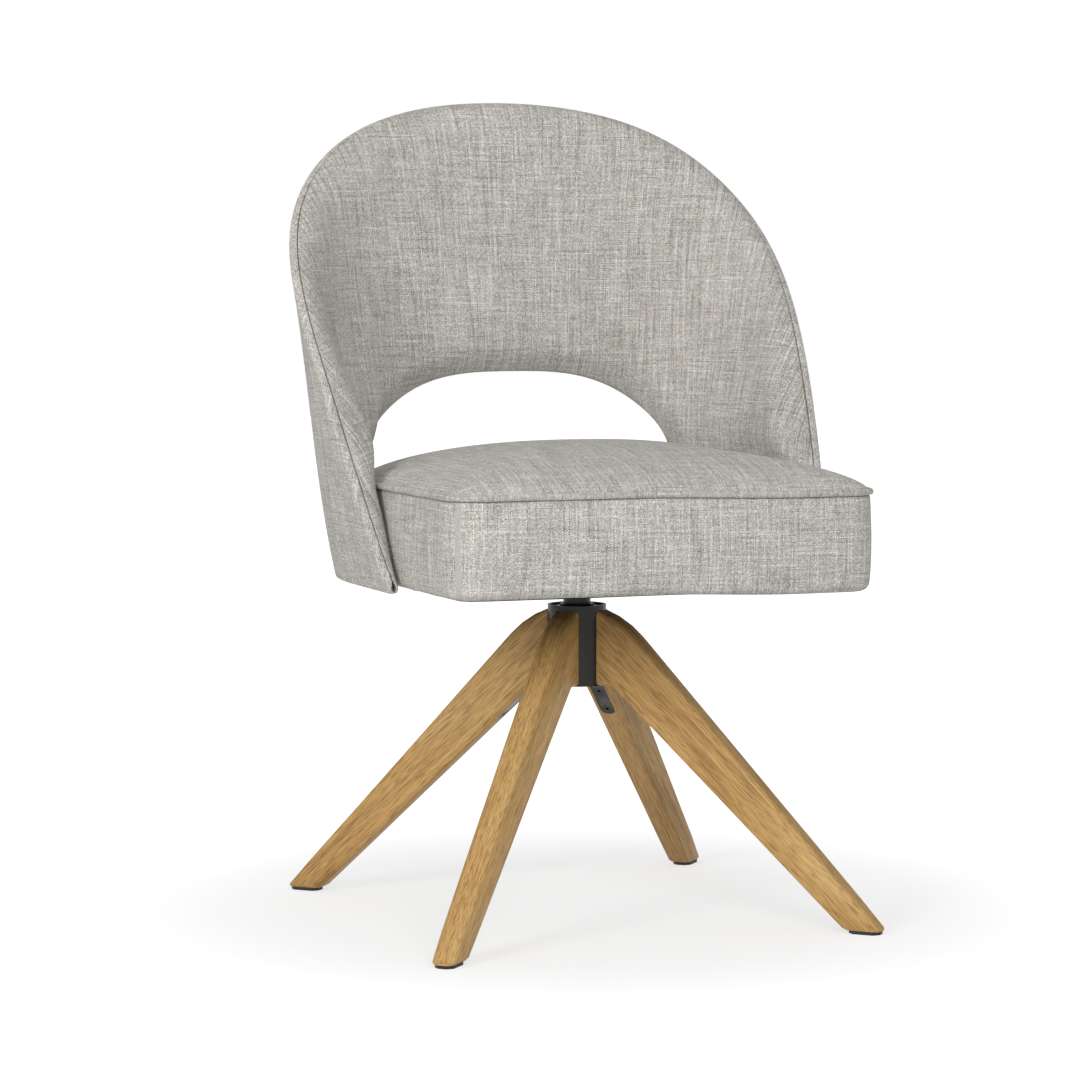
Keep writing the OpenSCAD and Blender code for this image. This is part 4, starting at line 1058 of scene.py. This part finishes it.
def makeFloor(look):
    material, tree, shader = newMaterial("studio floor, matt white paint")
    output = tree.nodes["Material Output"]
    rays = addNode(tree, "ShaderNodeLightPath")
    seen = addNode(tree, "ShaderNodeMath", {"operation": "MAXIMUM"},
                   {0: rays.outputs["Is Camera Ray"], 1: rays.outputs["Is Glossy Ray"]})
    seenToo = addNode(tree, "ShaderNodeMath", {"operation": "MAXIMUM"},
                      {0: seen.outputs[0], 1: rays.outputs["Is Transmission Ray"]})
    paint = addNode(tree, "ShaderNodeMix", {"data_type": "RGBA"},
                    {0: seenToo.outputs[0], 6: hexColour(look["floorColour"]), 7: hexColour(look["floorSeen"])})
    tree.links.new(paint.outputs[2], shader.inputs["Base Color"])
    setShader(shader, {"Roughness": 0.95, "Specular IOR Level": 0.0})
    # the floor glows more away from the chair, so that it ends in white; the glow shows to the camera and in
    # reflections, and lights nothing else
    away = addNode(tree, "ShaderNodeVectorMath", {"operation": "LENGTH"},
                   {0: addNode(tree, "ShaderNodeTexCoord").outputs["Object"]})
    rise = addNode(tree, "ShaderNodeMapRange", {"interpolation_type": "SMOOTHSTEP"},
                   {"Value": away.outputs["Value"], "From Min": look["glowFrom"], "From Max": look["glowTo"],
                    "To Min": look["floorGlow"], "To Max": look["farGlow"]})
    glow = addNode(tree, "ShaderNodeMath", {"operation": "MULTIPLY"}, {0: seenToo.outputs[0], 1: rise.outputs[0]})
    lit = addNode(tree, "ShaderNodeEmission", None, {"Color": (1, 1, 1, 1), "Strength": glow.outputs[0]})
    both = addNode(tree, "ShaderNodeAddShader", None, {0: shader.outputs[0], 1: lit.outputs[0]})
    tree.links.new(both.outputs[0], output.inputs["Surface"])
    bm = bmesh.new()
    bmesh.ops.create_grid(bm, x_segments=8, y_segments=8, size=look["floorHalf"])
    mesh = bpy.data.meshes.new("studio_floor")
    bm.to_mesh(mesh)
    bm.free()
    mesh.materials.append(material)
    floor = bpy.data.objects.new("studio_floor", mesh)
    scene.collection.objects.link(floor)


makeFloor(studio)

world = bpy.data.worlds.new("studio")
scene.world = world
world.use_nodes = True
tree = world.node_tree
rays = addNode(tree, "ShaderNodeLightPath")
seen = addNode(tree, "ShaderNodeMath", {"operation": "MAXIMUM"},
               {0: rays.outputs["Is Camera Ray"], 1: rays.outputs["Is Transmission Ray"]})
strength = addNode(tree, "ShaderNodeMix", {"data_type": "FLOAT"},
                   {0: seen.outputs[0], 2: studio["worldStrength"], 3: 1.0})
background = tree.nodes["Background"]
background.inputs["Color"].default_value = (1, 1, 1, 1)
tree.links.new(strength.outputs[0], background.inputs["Strength"])

camera = bpy.data.objects.new("camera", bpy.data.cameras.new("camera"))
scene.collection.objects.link(camera)
scene.camera = camera
camera.data.lens = studio["lens"]
camera.data.sensor_width = studio["sensor"]
camera.data.clip_end = studio["clipEnd"]
turn, yaw, pitch = (radians(studio[k]) for k in ("cameraTurn", "cameraYaw", "cameraPitch"))
camera.location = (-sin(turn) * studio["cameraDistance"], -cos(turn) * studio["cameraDistance"],
                   studio["cameraHeight"])
ahead = Vector((sin(turn + yaw) * cos(pitch), cos(turn + yaw) * cos(pitch), -sin(pitch)))
camera.rotation_euler = ahead.to_track_quat("-Z", "Y").to_euler()

softBoxes = {
    "key": {"place": (-0.6, -3.3, 1.8), "aim": (0, 0, 0.5), "size": 1.5, "power": 46},
    "side": {"place": (-2.9, -1.6, 1.5), "aim": (0, 0, 0.5), "size": 1.0, "power": 43},
}
for name, box in softBoxes.items():
    lamp = bpy.data.objects.new(name, bpy.data.lights.new(name, "AREA"))
    scene.collection.objects.link(lamp)
    lamp.data.energy = box["power"]
    lamp.data.shape = "SQUARE"
    lamp.data.size = box["size"]
    lamp.location = box["place"]
    lamp.rotation_euler = (Vector(box["aim"]) - Vector(box["place"])).to_track_quat("-Z", "Y").to_euler()
print("studio ready")
